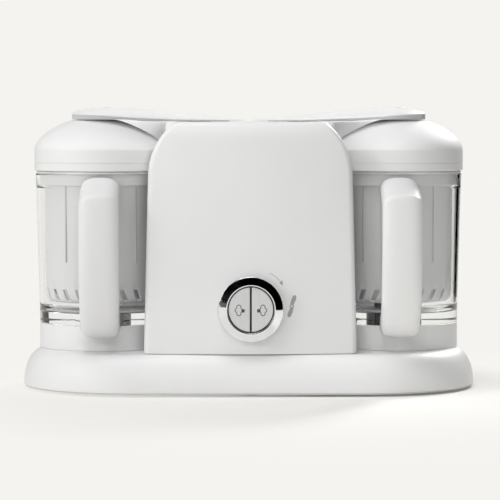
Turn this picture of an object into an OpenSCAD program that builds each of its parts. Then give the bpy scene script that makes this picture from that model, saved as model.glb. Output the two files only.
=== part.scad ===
// Twin-bowl baby food maker: two steaming bowls beside a central column, one of them with a blade.
// Millimetres, +Z up, the front faces -Y. The origin is on the table under the middle of the machine.

/* [Base] */
// Width of the base over its round ends
base_w = 400; // [380:1:430]
// Depth of the base
base_d = 196; // [190:1:220]
// Height of the base's flat top above the table
base_top = 35; // [32:0.5:45]
// How far the skirt rounds in from its widest line to the flat top
skirt_round = 18; // [10:1:24]
// Wall of the moulded covers
wall = 3; // [2:0.25:4]
// Gap under the base plate, made by the feet
foot_gap = 2; // [1:0.25:4]
// Thickness of the base plate
plate_t = 3; // [2:0.25:5]
// Radius of a rubber foot
foot_r = 9; // [6:0.5:12]
// Radius of a base screw's shank
screw_r = 2; // [1.5:0.25:3]
// How far a base screw reaches into its boss
screw_bite = 10; // [8:1:16]
// Distance of the outer screws from the ends of the base
screw_inset = 44; // [42:1:48]
// Distance of the inner screws from the middle
screw_inner_x = 66; // [60:1:70]

/* [Column] */
// How far the column's flat top lies below the lids' crowns
col_drop = 1.8; // [0.4:0.2:6]
// Distance from a bowl's axis to the column's side at the base
wing_low = 38; // [36:0.5:42]
// Distance from a bowl's axis to the column's side at the foot of its shoulders
wing_high = 41.8; // [38:0.2:46]
// Radius of the column's shoulders
shoulder_r = 60; // [40:1:70]
// Sweep of the shoulder arc in degrees
shoulder_a = 52; // [40:1:60]
// How far the front face stands in front of the middle
col_front = 84; // [80:0.5:86]
// How far the rear face stands behind the middle
col_rear = 80; // [76:0.5:84]
// Radius of the gentle curve of the front face
front_curve_r = 560; // [400:10:900]
// Distance from a bowl's axis to the column's side behind the bowls
rear_step = 56; // [54:0.5:60]
// Corner radius of the column in plan
col_corner_r = 5; // [2:0.5:8]

/* [Bowls] */
// Distance from an end of the base to its bowl's axis
bowl_inset = 70; // [66:1:72]
// How far the bowls' axes lie behind the middle
bowl_y = 6; // [2:0.5:10]
// Height of a bowl's rim above the table
bowl_top = 189; // [175:1:195]
// Outer radius of a bowl at its foot
bowl_r_low = 57; // [54:0.5:58]
// Outer radius of a bowl at its rim
bowl_r_high = 59.3; // [58.5:0.1:60.5]
// Thickness of a bowl's wall
bowl_wall = 3; // [2:0.25:3.5]
// Height of the collar that each bowl stands on
collar_h = 22; // [18:0.5:26]
// Thickness of a bowl's floor
floor_t = 10; // [7:0.5:12]
// Radius of the hub in the middle of a bowl's floor
hub_r = 18; // [15:0.5:20]
// How far the hub stands above the bowl's floor
hub_rise = 7.5; // [5:0.5:9]

/* [Baskets] */
// Outer radius of a basket at its floor
basket_r_low = 47; // [44:0.5:50]
// Outer radius of a basket under its flange
basket_r_high = 53.3; // [52:0.1:53.6]
// Height of the space between a bowl's floor and its basket
basket_lift = 9; // [8.5:0.5:14]
// How far a basket's rim lies below the bowl's rim
basket_drop = 6; // [4:0.5:10]
// Wall of a basket
basket_wall = 1.8; // [1.2:0.1:2.4]
// Number of drain slots around a basket
slot_count = 24; // [12:1:32]
// Inner radius of the well in a basket's floor, over the blades
well_r = 33; // [31:0.5:36]
// Height of the well above the basket's floor
well_h = 30; // [26:0.5:40]

/* [Lids] */
// Outer radius of a lid's rim
lid_r = 61.2; // [60.6:0.1:62.5]
// Thickness of the seal between a bowl's rim and its lid
seal_t = 2.5; // [1.5:0.1:4]
// Height of a lid's upright rim
lid_rim_h = 15.5; // [12:0.5:20]
// Rise of the dome above the rim
dome_h = 29.6; // [24:0.2:36]
// Radius of the flat crown
crown_r = 19.2; // [14:0.2:24]
// How far the crown is offset away from the column
crown_offset = 9.7; // [4:0.1:12]
// Wall of a lid
lid_wall = 2.5; // [2:0.1:3]

/* [Arms] */
// Distance from the inside of the column's side to the axis that its arm turns on
arm_side = 18.5; // [17.5:0.5:20.5]
// How far the centre of an arm's round head lies inboard of its bowl's axis
head_inset = 2; // [-2:0.5:8]
// Radius of an arm's round head
head_r = 29; // [24:0.5:32]
// Height of an arm's crest above the column's top
arm_h = 12.9; // [10:0.1:18]
// Gap between the two arms' tips
tip_gap = 9; // [6:0.5:14]
// Radius of an arm's tip
tip_r = 7; // [5:0.5:9]
// Clearance under an arm
arm_gap = 0.3; // [0.2:0.05:0.6]
// Radius of the stopper below each arm, which closes a filler neck
stopper_r = 12; // [9:0.5:13]
// Depth of the stopper in its neck
stopper_h = 16; // [12:0.5:18]

/* [Handles] */
// Width of a bowl's handle
handle_w = 35; // [30:0.5:40]
// How far a handle's front stands from its bowl's axis
handle_reach = 104; // [98:0.5:108]
// Thickness of the grip
grip_t = 16; // [12:0.5:19]

/* [Dial] */
// Height of the dial's centre above the table
dial_z = 74.8; // [70:0.2:90]
// Outer radius of the dial ring
dial_r = 28.5; // [26:0.1:32]
// Radius of the pair of half-round buttons
button_r = 18.2; // [17:0.1:20.5]
// Slit between the two buttons
button_slit = 1.5; // [1:0.1:3]
// How far the dial stands out from the column's face
dial_out = 11.5; // [9:0.1:13]
// Travel of a steam button
button_travel = 1.5; // [1:0.1:2]
// Turn of the dial ring in degrees
dial_turn = 40; // [20:1:50]
// Radius of the wire band of the dial's spring
dial_spring_t = 3; // [2:0.25:3.2]
// Width of a microswitch
switch_w = 8; // [6:0.5:10]

/* [Steam] */
// Air between a boiler and the column's side
boiler_air = 4.5; // [3:0.5:8]
// Distance from the middle to a boiler
boiler_mid = 4; // [2:0.5:6]
// Height of a boiler
boiler_h = 84; // [60:1:90]
// Thickness of the steel of a boiler
boiler_t = 1; // [0.8:0.1:2]
// Depth of a steam tower's roof below the column's top
tower_drop = 1.8; // [1:0.2:6]
// How far a steam tower's outer edge lies inboard of its bowl's axis
tower_in = 12; // [6:1:18]
// Outer radius of the steam hose
hose_r = 4; // [3:0.25:5]
// Radius of a thermostat
thermostat_r = 7; // [5:0.5:9]
// Height of a thermostat
thermostat_h = 6; // [4:0.5:8]

/* [Drive] */
// Air between the motor and the column's side
motor_air = 8.5; // [6:0.5:12]
// Radius of the motor's can
motor_r = 29; // [24:0.5:30]
// Height of the motor's can
motor_h = 60; // [45:1:62]
// Radius of the motor's shaft
shaft_r = 4; // [3:0.25:5]
// Radius of the motor's pulley
pulley_small_r = 9; // [8:0.5:12]
// Radius of the pulley under the blade
pulley_big_r = 30; // [24:0.5:36]
// Width of the belt
belt_w = 8; // [6:0.5:10]
// Thickness of the belt
belt_t = 2; // [1.5:0.25:3]
// Radius of the blade's spindle
spindle_r = 5; // [4:0.25:6]
// Wall of the spindle's housing
housing_wall = 4; // [3:0.5:6]
// Radius of the housing's flange
housing_flange_r = 20; // [16:1:24]
// Thickness of the housing's flange
housing_flange_t = 5; // [4:0.5:7]
// Reach of the blades from their axis
blade_r = 30; // [24:0.5:30.5]

/* [Fits] */
// Radial clearance of everything that turns or slides in a bore
run_gap = 0.05; // [0.02:0.01:0.1]
// Clearance between separate mouldings
part_gap = 0.3; // [0.2:0.05:0.6]
// Clearance around a bowl and its lid beside the column
bowl_gap = 3.3; // [2.5:0.1:4]

/* [Hidden] */
$fn = 96;

// Levels and places that several pieces share.
end_r = base_d / 2;                           // radius of the base's round ends
end_x = base_w / 2 - end_r;                   // centre of a round end
bowl_x = base_w / 2 - bowl_inset;             // distance from the middle to each bowl's axis
head_x = bowl_x - head_inset;                 // distance from the middle to an arm's head
plate_z = foot_gap;                           // underside of the base plate
cover_z = plate_z + plate_t;                  // lower edge of the base cover
ceiling_z = base_top - wall;                  // underside of the base cover's top
collar_top = base_top + collar_h;
floor_z = collar_top + floor_t;               // inside floor of a bowl
hub_top = floor_z + hub_rise;
basket_z = floor_z + basket_lift;             // underside of a basket
basket_top = bowl_top - basket_drop;
flange_t = 4;                                 // thickness of a basket's flange
lid_z = bowl_top + seal_t;                    // lower edge of a lid
dome_z = lid_z + lid_rim_h;                   // where the dome springs from the rim
lid_top = dome_z + dome_h;
dome_power = 0.606;                           // fullness of the dome's curve
col_top = lid_top - col_drop;                 // flat top of the column
deck_z = col_top - wall;                      // underside of the column's top
pocket_r = lid_r + bowl_gap;                  // hollow of the column around each bowl
pocket_x = bowl_x;
neck_half = bowl_x - pocket_r - wall;         // half width inside the column between the bowls
col_half_low = bowl_x - wing_low;             // half width of the column where it meets the base
col_half_high = bowl_x - wing_high;           // half width at the foot of the shoulders
col_half_rear = bowl_x - rear_step;           // half width behind the bowls
arm_x = neck_half - arm_side;                 // distance from the middle to the axis of an arm
boiler_r = (neck_half - boiler_air - boiler_mid) / 2;
boiler_x = boiler_mid + boiler_r;
tower_out = bowl_x - tower_in;                // outer edge of a steam tower
motor_x = neck_half - motor_air - motor_r;    // distance from the middle to the motor's axis
face_y = -col_front;                          // front of the column's face
split_front = -58;                            // seam between the front panel and the column shell
split_rear = 52;                              // seam between the column shell and the rear cover
neck_wall = 3;                                // wall of a filler neck
boiler_top = col_top - stopper_h - 5;         // top of a boiler
boiler_z = boiler_top - boiler_h;
gasket_t = 2;                                 // seal between a filler neck and its boiler
heater_t = 8;                                 // thickness of the heating element
steam_z = lid_z + 9;                          // height of the steam line
nozzle_a = 107;                               // direction of the steam nozzle around the bowl
hose_y = col_rear - 12;                       // depth of the steam hose behind the middle
seat_r = 50;                                  // radius of the ring that a bowl turns on
seat_h = 6.5;                                 // height of that ring
dial_face = face_y - dial_out;                // front of the dial
seat_tube_r = button_r + part_gap + 1.4;      // outer radius of the tube that the dial turns on
ring_bore = seat_tube_r + run_gap;
skirt_r = dial_r - 1.5;                       // part of the dial that enters the panel
seat_flange_r = skirt_r + 4;                  // radius of the dial seat's flange
face_sag = pow(seat_flange_r, 2) / (2 * front_curve_r);
seat_y = face_y + wall + face_sag;            // front of the flange, against the panel's curved back
seat_t = 2.5;                                 // thickness of the dial seat's flange
button_back = seat_y - 7;                     // back of a steam button's cap
stem_r = 3;                                   // radius of a button's stem
stem_x = 9;                                   // distance of a button's stem from the middle
stem_end = seat_y + seat_t + 2.5;             // back end of a button's stem
lug_r = 1.5;                                  // radius of the dial's stop lug
lug_at = (ring_bore + skirt_r) / 2;           // distance of the lug from the dial's axis
board_y = stem_end + 1.25 * switch_w;          // front face of the control board
board_t = 1.6;                                // thickness of the control board
board_w = 84;                                 // width of the control board
board_h = 66;                                 // height of the control board
post_x = board_w / 2 - 6;                     // place of the board's posts
post_z = board_h / 2 - 6;
belt_z = cover_z + 9;                         // underside of the belt
pulley_h = belt_w + 2;                        // height of a pulley
shaft_low = belt_z - 3;                       // lower end of the motor's shaft and the spindle
mount_h = 6;                                  // height of the motor's mount
motor_z = base_top + mount_h;                 // underside of the motor's can
housing_r = spindle_r + housing_wall;         // outer radius of the spindle's housing
spindle_top = base_top + 11;                  // top of the spindle's hexagon
hex_r = spindle_r;                            // corner radius of the hexagon drive
blade_z = basket_z + 4;                       // underside of the lowest blade
gland_z = (cover_z + ceiling_z) / 2;          // height of the cord gland
gland_r = 8;                                  // radius of the gland's body
cord_bore_r = 3.5;                            // bore of the gland
steel = "silver";
screw_outer_x = base_w / 2 - screw_inset;     // distance of the outer screws from the middle
screw_edge = screw_inset - 20;                // distance of the inner screws from the long edges
screw_places = [for (x = [-screw_outer_x, -screw_inner_x, screw_inner_x, screw_outer_x], y = [-1, 1])
    [x, y * (abs(x) > screw_inner_x ? end_r / 2 - 1 : end_r - screw_edge)]];
foot_edge = 2.45 * foot_r;                    // distance of the middle feet from the long edges
foot_x = base_w / 2 - 6.2 * foot_r;           // distance of the outer feet from the middle
foot_places = [for (x = [-foot_x, 0, foot_x], y = [-1, 1])
    [x, y * (x == 0 ? end_r - foot_edge : end_r - 4 * foot_r)]];

// Radius of a bowl's outside at a height.
function bowl_r(z) = bowl_r_low + (bowl_r_high - bowl_r_low) * (z - collar_top) / (bowl_top - collar_top);

// Points of the skirt from its lower edge up to the flat top, moved in by the given inset.
function skirt(inset, z0, z1) = [for (a = [0:10:90])
    [end_r - inset - skirt_round * (1 - cos(a)), z0 + (z1 - z0) * sin(a)]];

function reversed(list) = [for (i = [len(list) - 1:-1:0]) list[i]];

// A profile in (distance, height) carried around the base's outline.
module around_base() {
    for (s = [0, 1])
        mirror([s, 0, 0])
            translate([end_x, 0, 0])
                rotate([0, 0, -90])
                    rotate_extrude(angle = 180)
                        children();
    for (s = [0, 1])
        mirror([0, s, 0])
            rotate([90, 0, 90])
                translate([0, 0, -end_x])
                    linear_extrude(2 * end_x)
                        children();
}

// Places its children at one bowl's axis, with the column on the -X side for the right bowl.
module at_bowl(side) {
    mirror([side < 0 ? 1 : 0, 0, 0])
        translate([bowl_x, bowl_y, 0])
            children();
}

module at_side(side) {
    mirror([side < 0 ? 1 : 0, 0, 0])
        children();
}

// A cylinder along Y from y0 to y1.
module rod_y(r, y0, y1) {
    translate([0, y0, 0])
        rotate([-90, 0, 0])
            cylinder(r = r, h = y1 - y0);
}

module tube(r_out, r_in, h) {
    difference() {
        cylinder(r = r_out, h = h);
        translate([0, 0, -1])
            cylinder(r = r_in, h = h + 2);
    }
}

module base_cover() {
    color("white")
        difference() {
            union() {
                around_base()
                    polygon(concat(skirt(0, cover_z, base_top), [[0, base_top], [0, ceiling_z]],
                        reversed(skirt(wall, cover_z, ceiling_z))));
                for (p = screw_places)
                    translate([p[0], p[1], cover_z])
                        cylinder(r = screw_r + 3, h = ceiling_z - cover_z + 1);
            }
            for (p = screw_places)
                translate([p[0], p[1], cover_z - 1])
                    cylinder(r = screw_r, h = screw_bite + 1);
            translate([bowl_x, bowl_y, ceiling_z - 1])
                cylinder(r = housing_r, h = wall + 2);
            translate([motor_x, bowl_y, ceiling_z - 1])
                cylinder(r = shaft_r + 6, h = wall + 2);
            translate([0, 0, gland_z]) {
                rod_y(gland_r, end_r - wall - 20, end_r);
                rod_y(gland_r + 2, end_r - 2, end_r + 1);
            }
            translate([-40, -50, ceiling_z - 1])
                cube([24, 12, wall + 2]);
        }
}

module base_plate() {
    color("dimgray")
        difference() {
            around_base()
                translate([0, plate_z])
                    square([end_r - 1.2, plate_t]);
            for (p = screw_places)
                translate([p[0], p[1], plate_z - 1]) {
                    cylinder(r = screw_r, h = plate_t + 2);
                    cylinder(r = 2 * screw_r, h = 1 + plate_t / 2);
                }
            for (p = foot_places)
                translate([p[0], p[1], plate_z - 1])
                    cylinder(r = foot_r, h = 1 + plate_t / 3);
            for (i = [-4:4])
                translate([motor_x + 7 * i - 1.5, bowl_y - 20, plate_z - 1])
                    cube([3, 40, plate_t + 2]);
        }
}

module rubber_feet() {
    color("black")
        for (p = foot_places)
            translate([p[0], p[1], 0])
                cylinder(r = foot_r, h = plate_z + plate_t / 3);
}

module base_screws() {
    color(steel)
        for (p = screw_places)
            translate([p[0], p[1], plate_z]) {
                cylinder(r = 2 * screw_r - run_gap, h = plate_t / 2);
                cylinder(r = screw_r, h = plate_t + screw_bite);
            }
}

// The ring on the base that a bowl's collar turns on.
module bowl_seat(side) {
    color("white")
        at_bowl(side)
            translate([0, 0, base_top])
                tube(seat_r, seat_r - 6, seat_h);
}

// Outline of the column seen from the front, as (x, z).
module column_front_2d(inset) {
    arc_z = col_top - shoulder_r * sin(shoulder_a);
    right = concat([[col_half_low, base_top]],
        [for (a = [0:shoulder_a / 8:shoulder_a])
            [col_half_high - shoulder_r * (1 - cos(a)), arc_z + shoulder_r * sin(a)]]);
    left = [for (p = reversed(right)) [-p[0], p[1]]];
    difference() {
        offset(delta = -inset)
            polygon(concat([[-col_half_low, base_top - 10], [col_half_low, base_top - 10]], right, left));
        translate([-base_w, base_top - 60])
            square([2 * base_w, 60]);
    }
}

// Outline of the column seen from above.
module column_plan_2d(inset) {
    offset(delta = -inset)
        offset(r = col_corner_r, $fn = 48)
            offset(delta = -col_corner_r)
                difference() {
                    union() {
                        intersection() {
                            translate([0, front_curve_r - col_front])
                                circle(r = front_curve_r, $fn = 360);
                            translate([-col_half_low, -col_front])
                                square([2 * col_half_low, col_front]);
                        }
                        translate([-col_half_rear, -10])
                            square([2 * col_half_rear, col_rear + 10]);
                    }
                    for (s = [-1, 1])
                        translate([s * pocket_x, bowl_y])
                            circle(r = pocket_r);
                }
}

module column_solid(inset) {
    intersection() {
        translate([0, col_rear + 20, 0])
            rotate([90, 0, 0])
                linear_extrude(col_front + col_rear + 40)
                    column_front_2d(inset);
        linear_extrude(col_top + 10)
            column_plan_2d(inset);
    }
}

// The column's skin between two seams.
module column_skin(y0, y1) {
    intersection() {
        difference() {
            column_solid(0);
            column_solid(wall);
        }
        translate([-base_w / 2, y0, base_top])
            cube([base_w, y1 - y0, col_top]);
    }
}

module front_panel() {
    color("white")
        difference() {
            union() {
                column_skin(-col_front - 5, split_front);
                for (x = [-1, 1], z = [-1, 1])
                    translate([x * post_x, 0, dial_z + z * post_z])
                        rod_y(3, face_y + wall / 2 + 1, board_y);
            }
            translate([0, 0, dial_z])
                rod_y(skirt_r + part_gap, face_y - 10, face_y + wall + 2);
        }
}

module column_shell() {
    color("white")
        difference() {
            union() {
                column_skin(split_front, split_rear);
                for (s = [-1, 1])
                    translate([s * arm_x, bowl_y, boiler_top + gasket_t])
                        cylinder(r = stopper_r + neck_wall, h = col_top - boiler_top - gasket_t - 1);
            }
            for (s = [-1, 1])
                translate([s * arm_x, bowl_y, boiler_top])
                    cylinder(r = stopper_r + run_gap, h = col_top);
        }
}

module rear_cover() {
    slot_h = 3;
    color("white")
        difference() {
            column_skin(split_rear, col_rear + 1);
            for (i = [0:5])
                translate([-30, col_rear - wall - 1, base_top + 30 + 3 * slot_h * i])
                    cube([60, wall + 2, slot_h]);
            for (s = [-1, 1])
                translate([s * (col_half_rear + 1), 0, 0])
                    translate([0, hose_y, steam_z])
                        rotate([0, 90, 0])
                            cylinder(r = hose_r + part_gap, h = 2 * wall + 4, center = true);
        }
}
// Plan of the hollow tower behind each bowl.
module tower_2d(inset) {
    offset(delta = -inset)
        offset(r = 3, $fn = 48)
            offset(delta = -3)
                difference() {
                    translate([col_half_rear + part_gap - bowl_x, split_rear - 8 - bowl_y])
                        square([tower_out - col_half_rear - part_gap, col_rear - split_rear + 8]);
                    circle(r = pocket_r);
                }
}

module steam_tower(side) {
    top = col_top - tower_drop;
    color("white")
        at_bowl(side)
            difference() {
                union() {
                    difference() {
                        translate([0, 0, base_top])
                            linear_extrude(top - base_top)
                                tower_2d(0);
                        translate([0, 0, base_top - 1])
                            linear_extrude(top - base_top + 1 - wall)
                                tower_2d(wall);
                    }
                    rotate([0, 0, nozzle_a])
                        translate([lid_r + 1, 0, steam_z])
                            rotate([0, 90, 0])
                                cylinder(r = hose_r + 1.5, h = bowl_gap + wall - 1);
                }
                rotate([0, 0, nozzle_a])
                    translate([lid_r, 0, steam_z])
                        rotate([0, 90, 0])
                            cylinder(r = hose_r - 1.5, h = bowl_gap + wall + 2);
                translate([col_half_rear - bowl_x - 1, hose_y - bowl_y, steam_z])
                    rotate([0, 90, 0])
                        cylinder(r = hose_r + part_gap, h = wall + 3);
            }
}

module boiler(side) {
    color(steel)
        at_side(side)
            difference() {
                translate([boiler_x, bowl_y, boiler_z])
                    cylinder(r = boiler_r, h = boiler_h);
                translate([boiler_x, bowl_y, boiler_z + boiler_t])
                    cylinder(r = boiler_r - boiler_t, h = boiler_h - 2 * boiler_t);
                translate([arm_x, bowl_y, boiler_top - 2 * boiler_t])
                    cylinder(r = stopper_r - 1, h = 4 * boiler_t);
                translate([boiler_x, bowl_y + boiler_r - 4, steam_z])
                    rod_y(hose_r - 1.5, 0, 10);
            }
}

module heater(side) {
    color("darkgray")
        at_side(side)
            translate([boiler_x, bowl_y, boiler_z - heater_t])
                cylinder(r = boiler_r - 3, h = heater_t);
}

module thermostats() {
    color("black")
        for (s = [-1, 1])
            translate([s * boiler_x, bowl_y, boiler_z - heater_t - thermostat_h])
                cylinder(r = thermostat_r, h = thermostat_h);
}

module neck_gaskets() {
    color("tomato")
        for (s = [-1, 1])
            translate([s * arm_x, bowl_y, boiler_top])
                tube(stopper_r + 1.5, stopper_r - 0.5, gasket_t);
}

// Hose from the boiler's back to the steam tower, with one square turn.
module steam_hose(side) {
    start_y = bowl_y + boiler_r;
    reach = col_half_rear + part_gap + wall + 4 - boiler_x;
    color("lightgray")
        at_side(side)
            translate([boiler_x, 0, steam_z])
                difference() {
                    union() {
                        rod_y(hose_r, start_y, hose_y);
                        translate([0, hose_y, 0])
                            sphere(r = hose_r);
                        translate([0, hose_y, 0])
                            rotate([0, 90, 0])
                                cylinder(r = hose_r, h = reach);
                    }
                    rod_y(hose_r - 1.5, start_y - 1, hose_y);
                    translate([0, hose_y, 0])
                        sphere(r = hose_r - 1.5);
                    translate([0, hose_y, 0])
                        rotate([0, 90, 0])
                            cylinder(r = hose_r - 1.5, h = reach + 1);
                }
}

// A closing arm: a narrow tip by the middle, a round head over the lid.
module arm(side) {
    low = col_top + arm_gap;
    head_low = lid_top + arm_gap;
    crest = col_top + arm_h;
    tip_x = tip_gap / 2 + tip_r;
    color("white")
        at_side(side)
            translate([0, bowl_y, 0])
                difference() {
                    union() {
                        hull() {
                            translate([tip_x, 0, low])
                                cylinder(r = tip_r, h = 1.4, $fn = 32);
                            translate([tip_x, 0, low])
                                cylinder(r = tip_r - 2, h = 2.2, $fn = 32);
                            arm_slice(arm_x, low);
                        }
                        hull() {
                            arm_slice(arm_x, low);
                            translate([head_x, 0, low])
                                cylinder(r = head_r - 0.6, h = 4, $fn = 64);
                            translate([head_x, 0, low + 2])
                                cylinder(r = head_r, h = 3, $fn = 64);
                            translate([head_x - 2, 0, low])
                                cylinder(r = head_r - 6, h = crest - low - 1.6, $fn = 48);
                            translate([head_x - 3, 0, low])
                                cylinder(r = head_r - 13, h = crest - low, $fn = 48);
                        }
                    }
                    translate([pocket_x - pocket_r, -head_r - 5, low - 5])
                        cube([base_w, 2 * head_r + 10, 5 + head_low - low]);
                    translate([-1, -tip_r - 1, low - 5])
                        cube([tip_gap / 2 + 13, 2 * tip_r + 2, 6]);
                    translate([arm_x, 0, low - 5])
                        cylinder(r = stopper_r - 2, h = 5 + 3);
                }
}

// Cross-section of an arm at a distance from the middle, as a thin round slice.
module arm_slice(x, low) {
    translate([x, 0, low]) {
        cylinder(r = 15.5, h = 3, $fn = 48);
        cylinder(r = 10, h = 5.2, $fn = 48);
    }
}

module stopper(side) {
    color("lightgray")
        at_side(side)
            translate([arm_x, bowl_y, col_top - stopper_h])
                difference() {
                    union() {
                        cylinder(r = stopper_r, h = stopper_h - 0.2);
                        cylinder(r = stopper_r - 2, h = stopper_h + arm_gap + 3);
                    }
                    translate([0, 0, 5])
                        tube(stopper_r + 1, stopper_r - 2, 3);
                }
}

module stopper_seal(side) {
    color("tomato")
        at_side(side)
            translate([arm_x, bowl_y, col_top - stopper_h + 5])
                tube(stopper_r, stopper_r - 2, 3);
}

// The lid's dome as one hull of discs that shrink and move away from the column.
module dome(inset) {
    steps = 7;
    rim_disc = 0.5;
    hull()
        for (i = [0:steps]) {
            rise = sin(90 * i / steps);
            r = crown_r + (lid_r - crown_r) * pow(1 - rise, dome_power) - inset;
            z = dome_z + (dome_h - rim_disc) * rise - inset * rise;
            translate([crown_offset * sin(90 * rise), 0, z])
                cylinder(r = r, h = rim_disc, $fn = 72);
        }
}

module lid(side) {
    lip = 3;
    color("white")
        at_bowl(side)
            difference() {
                union() {
                    translate([0, 0, lid_z])
                        tube(lid_r - 1.2, bowl_r_high - bowl_wall - 2, lip);
                    translate([0, 0, lid_z + 1.5])
                        tube(lid_r, lid_r - lid_wall - 1, lid_rim_h - 1.5);
                    difference() {
                        dome(0);
                        dome(lid_wall);
                        translate([0, 0, dome_z - 1])
                            cylinder(r = lid_r - lid_wall, h = 1.5);
                    }
                }
                translate([0, 0, lid_z + 7])
                    tube(lid_r + 1, lid_r - 0.5, 0.6);
                rotate([0, 0, nozzle_a])
                    translate([lid_r - 8, 0, steam_z])
                        rotate([0, 90, 0])
                            cylinder(r = hose_r, h = 12);
            }
}

module lid_seal(side) {
    color("gray")
        at_bowl(side)
            translate([0, 0, bowl_top])
                tube(bowl_r_high - 0.6, bowl_r_high - bowl_wall - 2, seal_t);
}

module bowl(side) {
    inner_low = bowl_r(floor_z) - bowl_wall;
    inner_high = bowl_r_high - bowl_wall;
    ledge = basket_top - flange_t;
    color("lightblue", 0.5)
        at_bowl(side)
            rotate_extrude()
                polygon([[hub_r, collar_top], [bowl_r_low, collar_top], [bowl_r_high, bowl_top],
                    [inner_high, bowl_top], [bowl_r(ledge) - bowl_wall, ledge],
                    [basket_r_high + part_gap, ledge], [basket_r_high + part_gap, ledge - 2],
                    [bowl_r(ledge - 5) - bowl_wall, ledge - 5],
                    [inner_low, floor_z + 6], [inner_low - 2, floor_z + 2], [inner_low - 6, floor_z],
                    [hub_r, floor_z]]);
}

module basket(side) {
    ledge = basket_top - flange_t;
    slot_r = basket_r_low - 3;
    color("lightgray", 0.7)
        at_bowl(side)
            difference() {
                rotate_extrude()
                    polygon([[well_r, basket_z], [basket_r_low - 4, basket_z],
                        [basket_r_low, basket_z + 5], [basket_r_high, ledge],
                        [bowl_r(ledge) - bowl_wall - part_gap, ledge],
                        [bowl_r(ledge) - bowl_wall - part_gap, basket_top],
                        [basket_r_high - basket_wall, basket_top],
                        [basket_r_low - basket_wall, basket_z + 6],
                        [basket_r_low - 5, basket_z + basket_wall],
                        [well_r + basket_wall, basket_z + basket_wall],
                        [well_r + basket_wall - 2, basket_z + well_h + basket_wall],
                        [0, basket_z + well_h + basket_wall], [0, basket_z + well_h],
                        [well_r - 2, basket_z + well_h]]);
                for (i = [0:slot_count - 1])
                    rotate([0, 0, 360 * i / slot_count])
                        translate([slot_r, -0.9, basket_z + 7])
                            cube([8, 1.8, 8]);
            }
}

module collar(side) {
    color("white")
        at_bowl(side)
            rotate_extrude()
                polygon([[seat_r + run_gap, base_top], [bowl_r_low - 0.2, base_top],
                    [bowl_r_low - 0.2, collar_top], [hub_r + 7, collar_top], [hub_r + 7, collar_top - 6],
                    [seat_r + run_gap, collar_top - 6]]);
}

// Side outline of a handle, as (distance in front of the bowl's axis, height).
module handle_side_2d() {
    low = base_top + 13;
    top = bowl_top - 2;
    offset(r = 5, $fn = 48)
        offset(delta = -5)
            polygon([[bowl_r_low - 8, low], [bowl_r_low + 6, low], [handle_reach - 26, low + 10],
                [handle_reach - 11, low + 28], [handle_reach - 3, low + 56], [handle_reach, low + 86],
                [handle_reach, top - 21], [handle_reach - 3, top - 14], [bowl_r_high + 8, top - 1],
                [bowl_r_low - 8, top]]);
}

module grip_gap_2d() {
    low = base_top + 13;
    top = bowl_top - 2;
    offset(r = 5, $fn = 48)
        offset(delta = -5)
            polygon([[bowl_r_high + 5, low + 24], [handle_reach - grip_t - 10, low + 34],
                [handle_reach - grip_t - 2, low + 60], [handle_reach - grip_t, low + 86],
                [handle_reach - grip_t, top - 34], [bowl_r_high + 5, top - 24]]);
}

module handle(side) {
    tongue_r = handle_w / 2 - 1;
    low = base_top + 13;
    color("white")
        at_bowl(side)
            difference() {
                intersection() {
                    rotate([90, 0, -90])
                        translate([0, 0, -handle_w])
                            linear_extrude(2 * handle_w)
                                difference() {
                                    handle_side_2d();
                                    grip_gap_2d();
                                }
                    rotate([90, 0, 0])
                        linear_extrude(handle_reach + 1)
                            union() {
                                translate([0, low + tongue_r])
                                    circle(r = tongue_r);
                                polygon([[-tongue_r, low + tongue_r], [tongue_r, low + tongue_r],
                                    [handle_w / 2, bowl_top], [-handle_w / 2, bowl_top]]);
                            }
                }
                translate([0, 0, collar_top])
                    cylinder(r1 = bowl_r_low, r2 = bowl_r_high, h = bowl_top - collar_top);
                translate([0, 0, base_top])
                    cylinder(r = bowl_r_low - 0.2, h = collar_h + 0.01);
            }
}

module floor_plug() {
    color("gray")
        at_bowl(-1) {
            translate([0, 0, collar_top])
                cylinder(r = hub_r, h = floor_t + 3);
            translate([0, 0, collar_top - 4])
                cylinder(r = hub_r + 6, h = 4);
        }
}

// The black hub in the right bowl's floor, which the blade's shaft runs in.
module blade_bearing() {
    color("black")
        at_bowl(1)
            difference() {
                union() {
                    translate([0, 0, collar_top])
                        cylinder(r = hub_r, h = hub_top - collar_top);
                    translate([0, 0, collar_top - 4])
                        cylinder(r = hub_r + 6, h = 4);
                }
                translate([0, 0, collar_top - 5])
                    cylinder(r = shaft_r + run_gap, h = floor_t + hub_rise + 10);
            }
}

module blade_coupling() {
    color("gray")
        at_bowl(1)
            difference() {
                translate([0, 0, spindle_top - 4])
                    cylinder(r = hex_r + 5, h = collar_top - 4.5 - spindle_top + 4);
                translate([0, 0, spindle_top - 5])
                    cylinder(r = hex_r + 0.1, h = 6, $fn = 6);
            }
}

module blade_unit() {
    color(steel)
        at_bowl(1) {
            translate([0, 0, collar_top - 4.5])
                cylinder(r = shaft_r, h = hub_top - collar_top + 5);
            translate([0, 0, hub_top + 0.4])
                cylinder(r = 8, h = blade_z + 16 - hub_top);
            for (i = [0:3])
                rotate([0, 0, 90 * i])
                    translate([0, 0, blade_z + (i % 2 == 0 ? 9 : 4)])
                        rotate([0, i % 2 == 0 ? -12 : 8, 0])
                            linear_extrude(1.4)
                                polygon([[4, -5], [blade_r * 0.6, -6.5], [blade_r - 2, -1],
                                    [blade_r - 2.5, 2], [4, 4]]);
        }
}

module drive_spindle() {
    color(steel)
        at_bowl(1) {
            translate([0, 0, shaft_low])
                cylinder(r = spindle_r, h = spindle_top - 5 - shaft_low);
            translate([0, 0, spindle_top - 5.01])
                cylinder(r = hex_r, h = 5.01, $fn = 6);
        }
}

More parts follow.
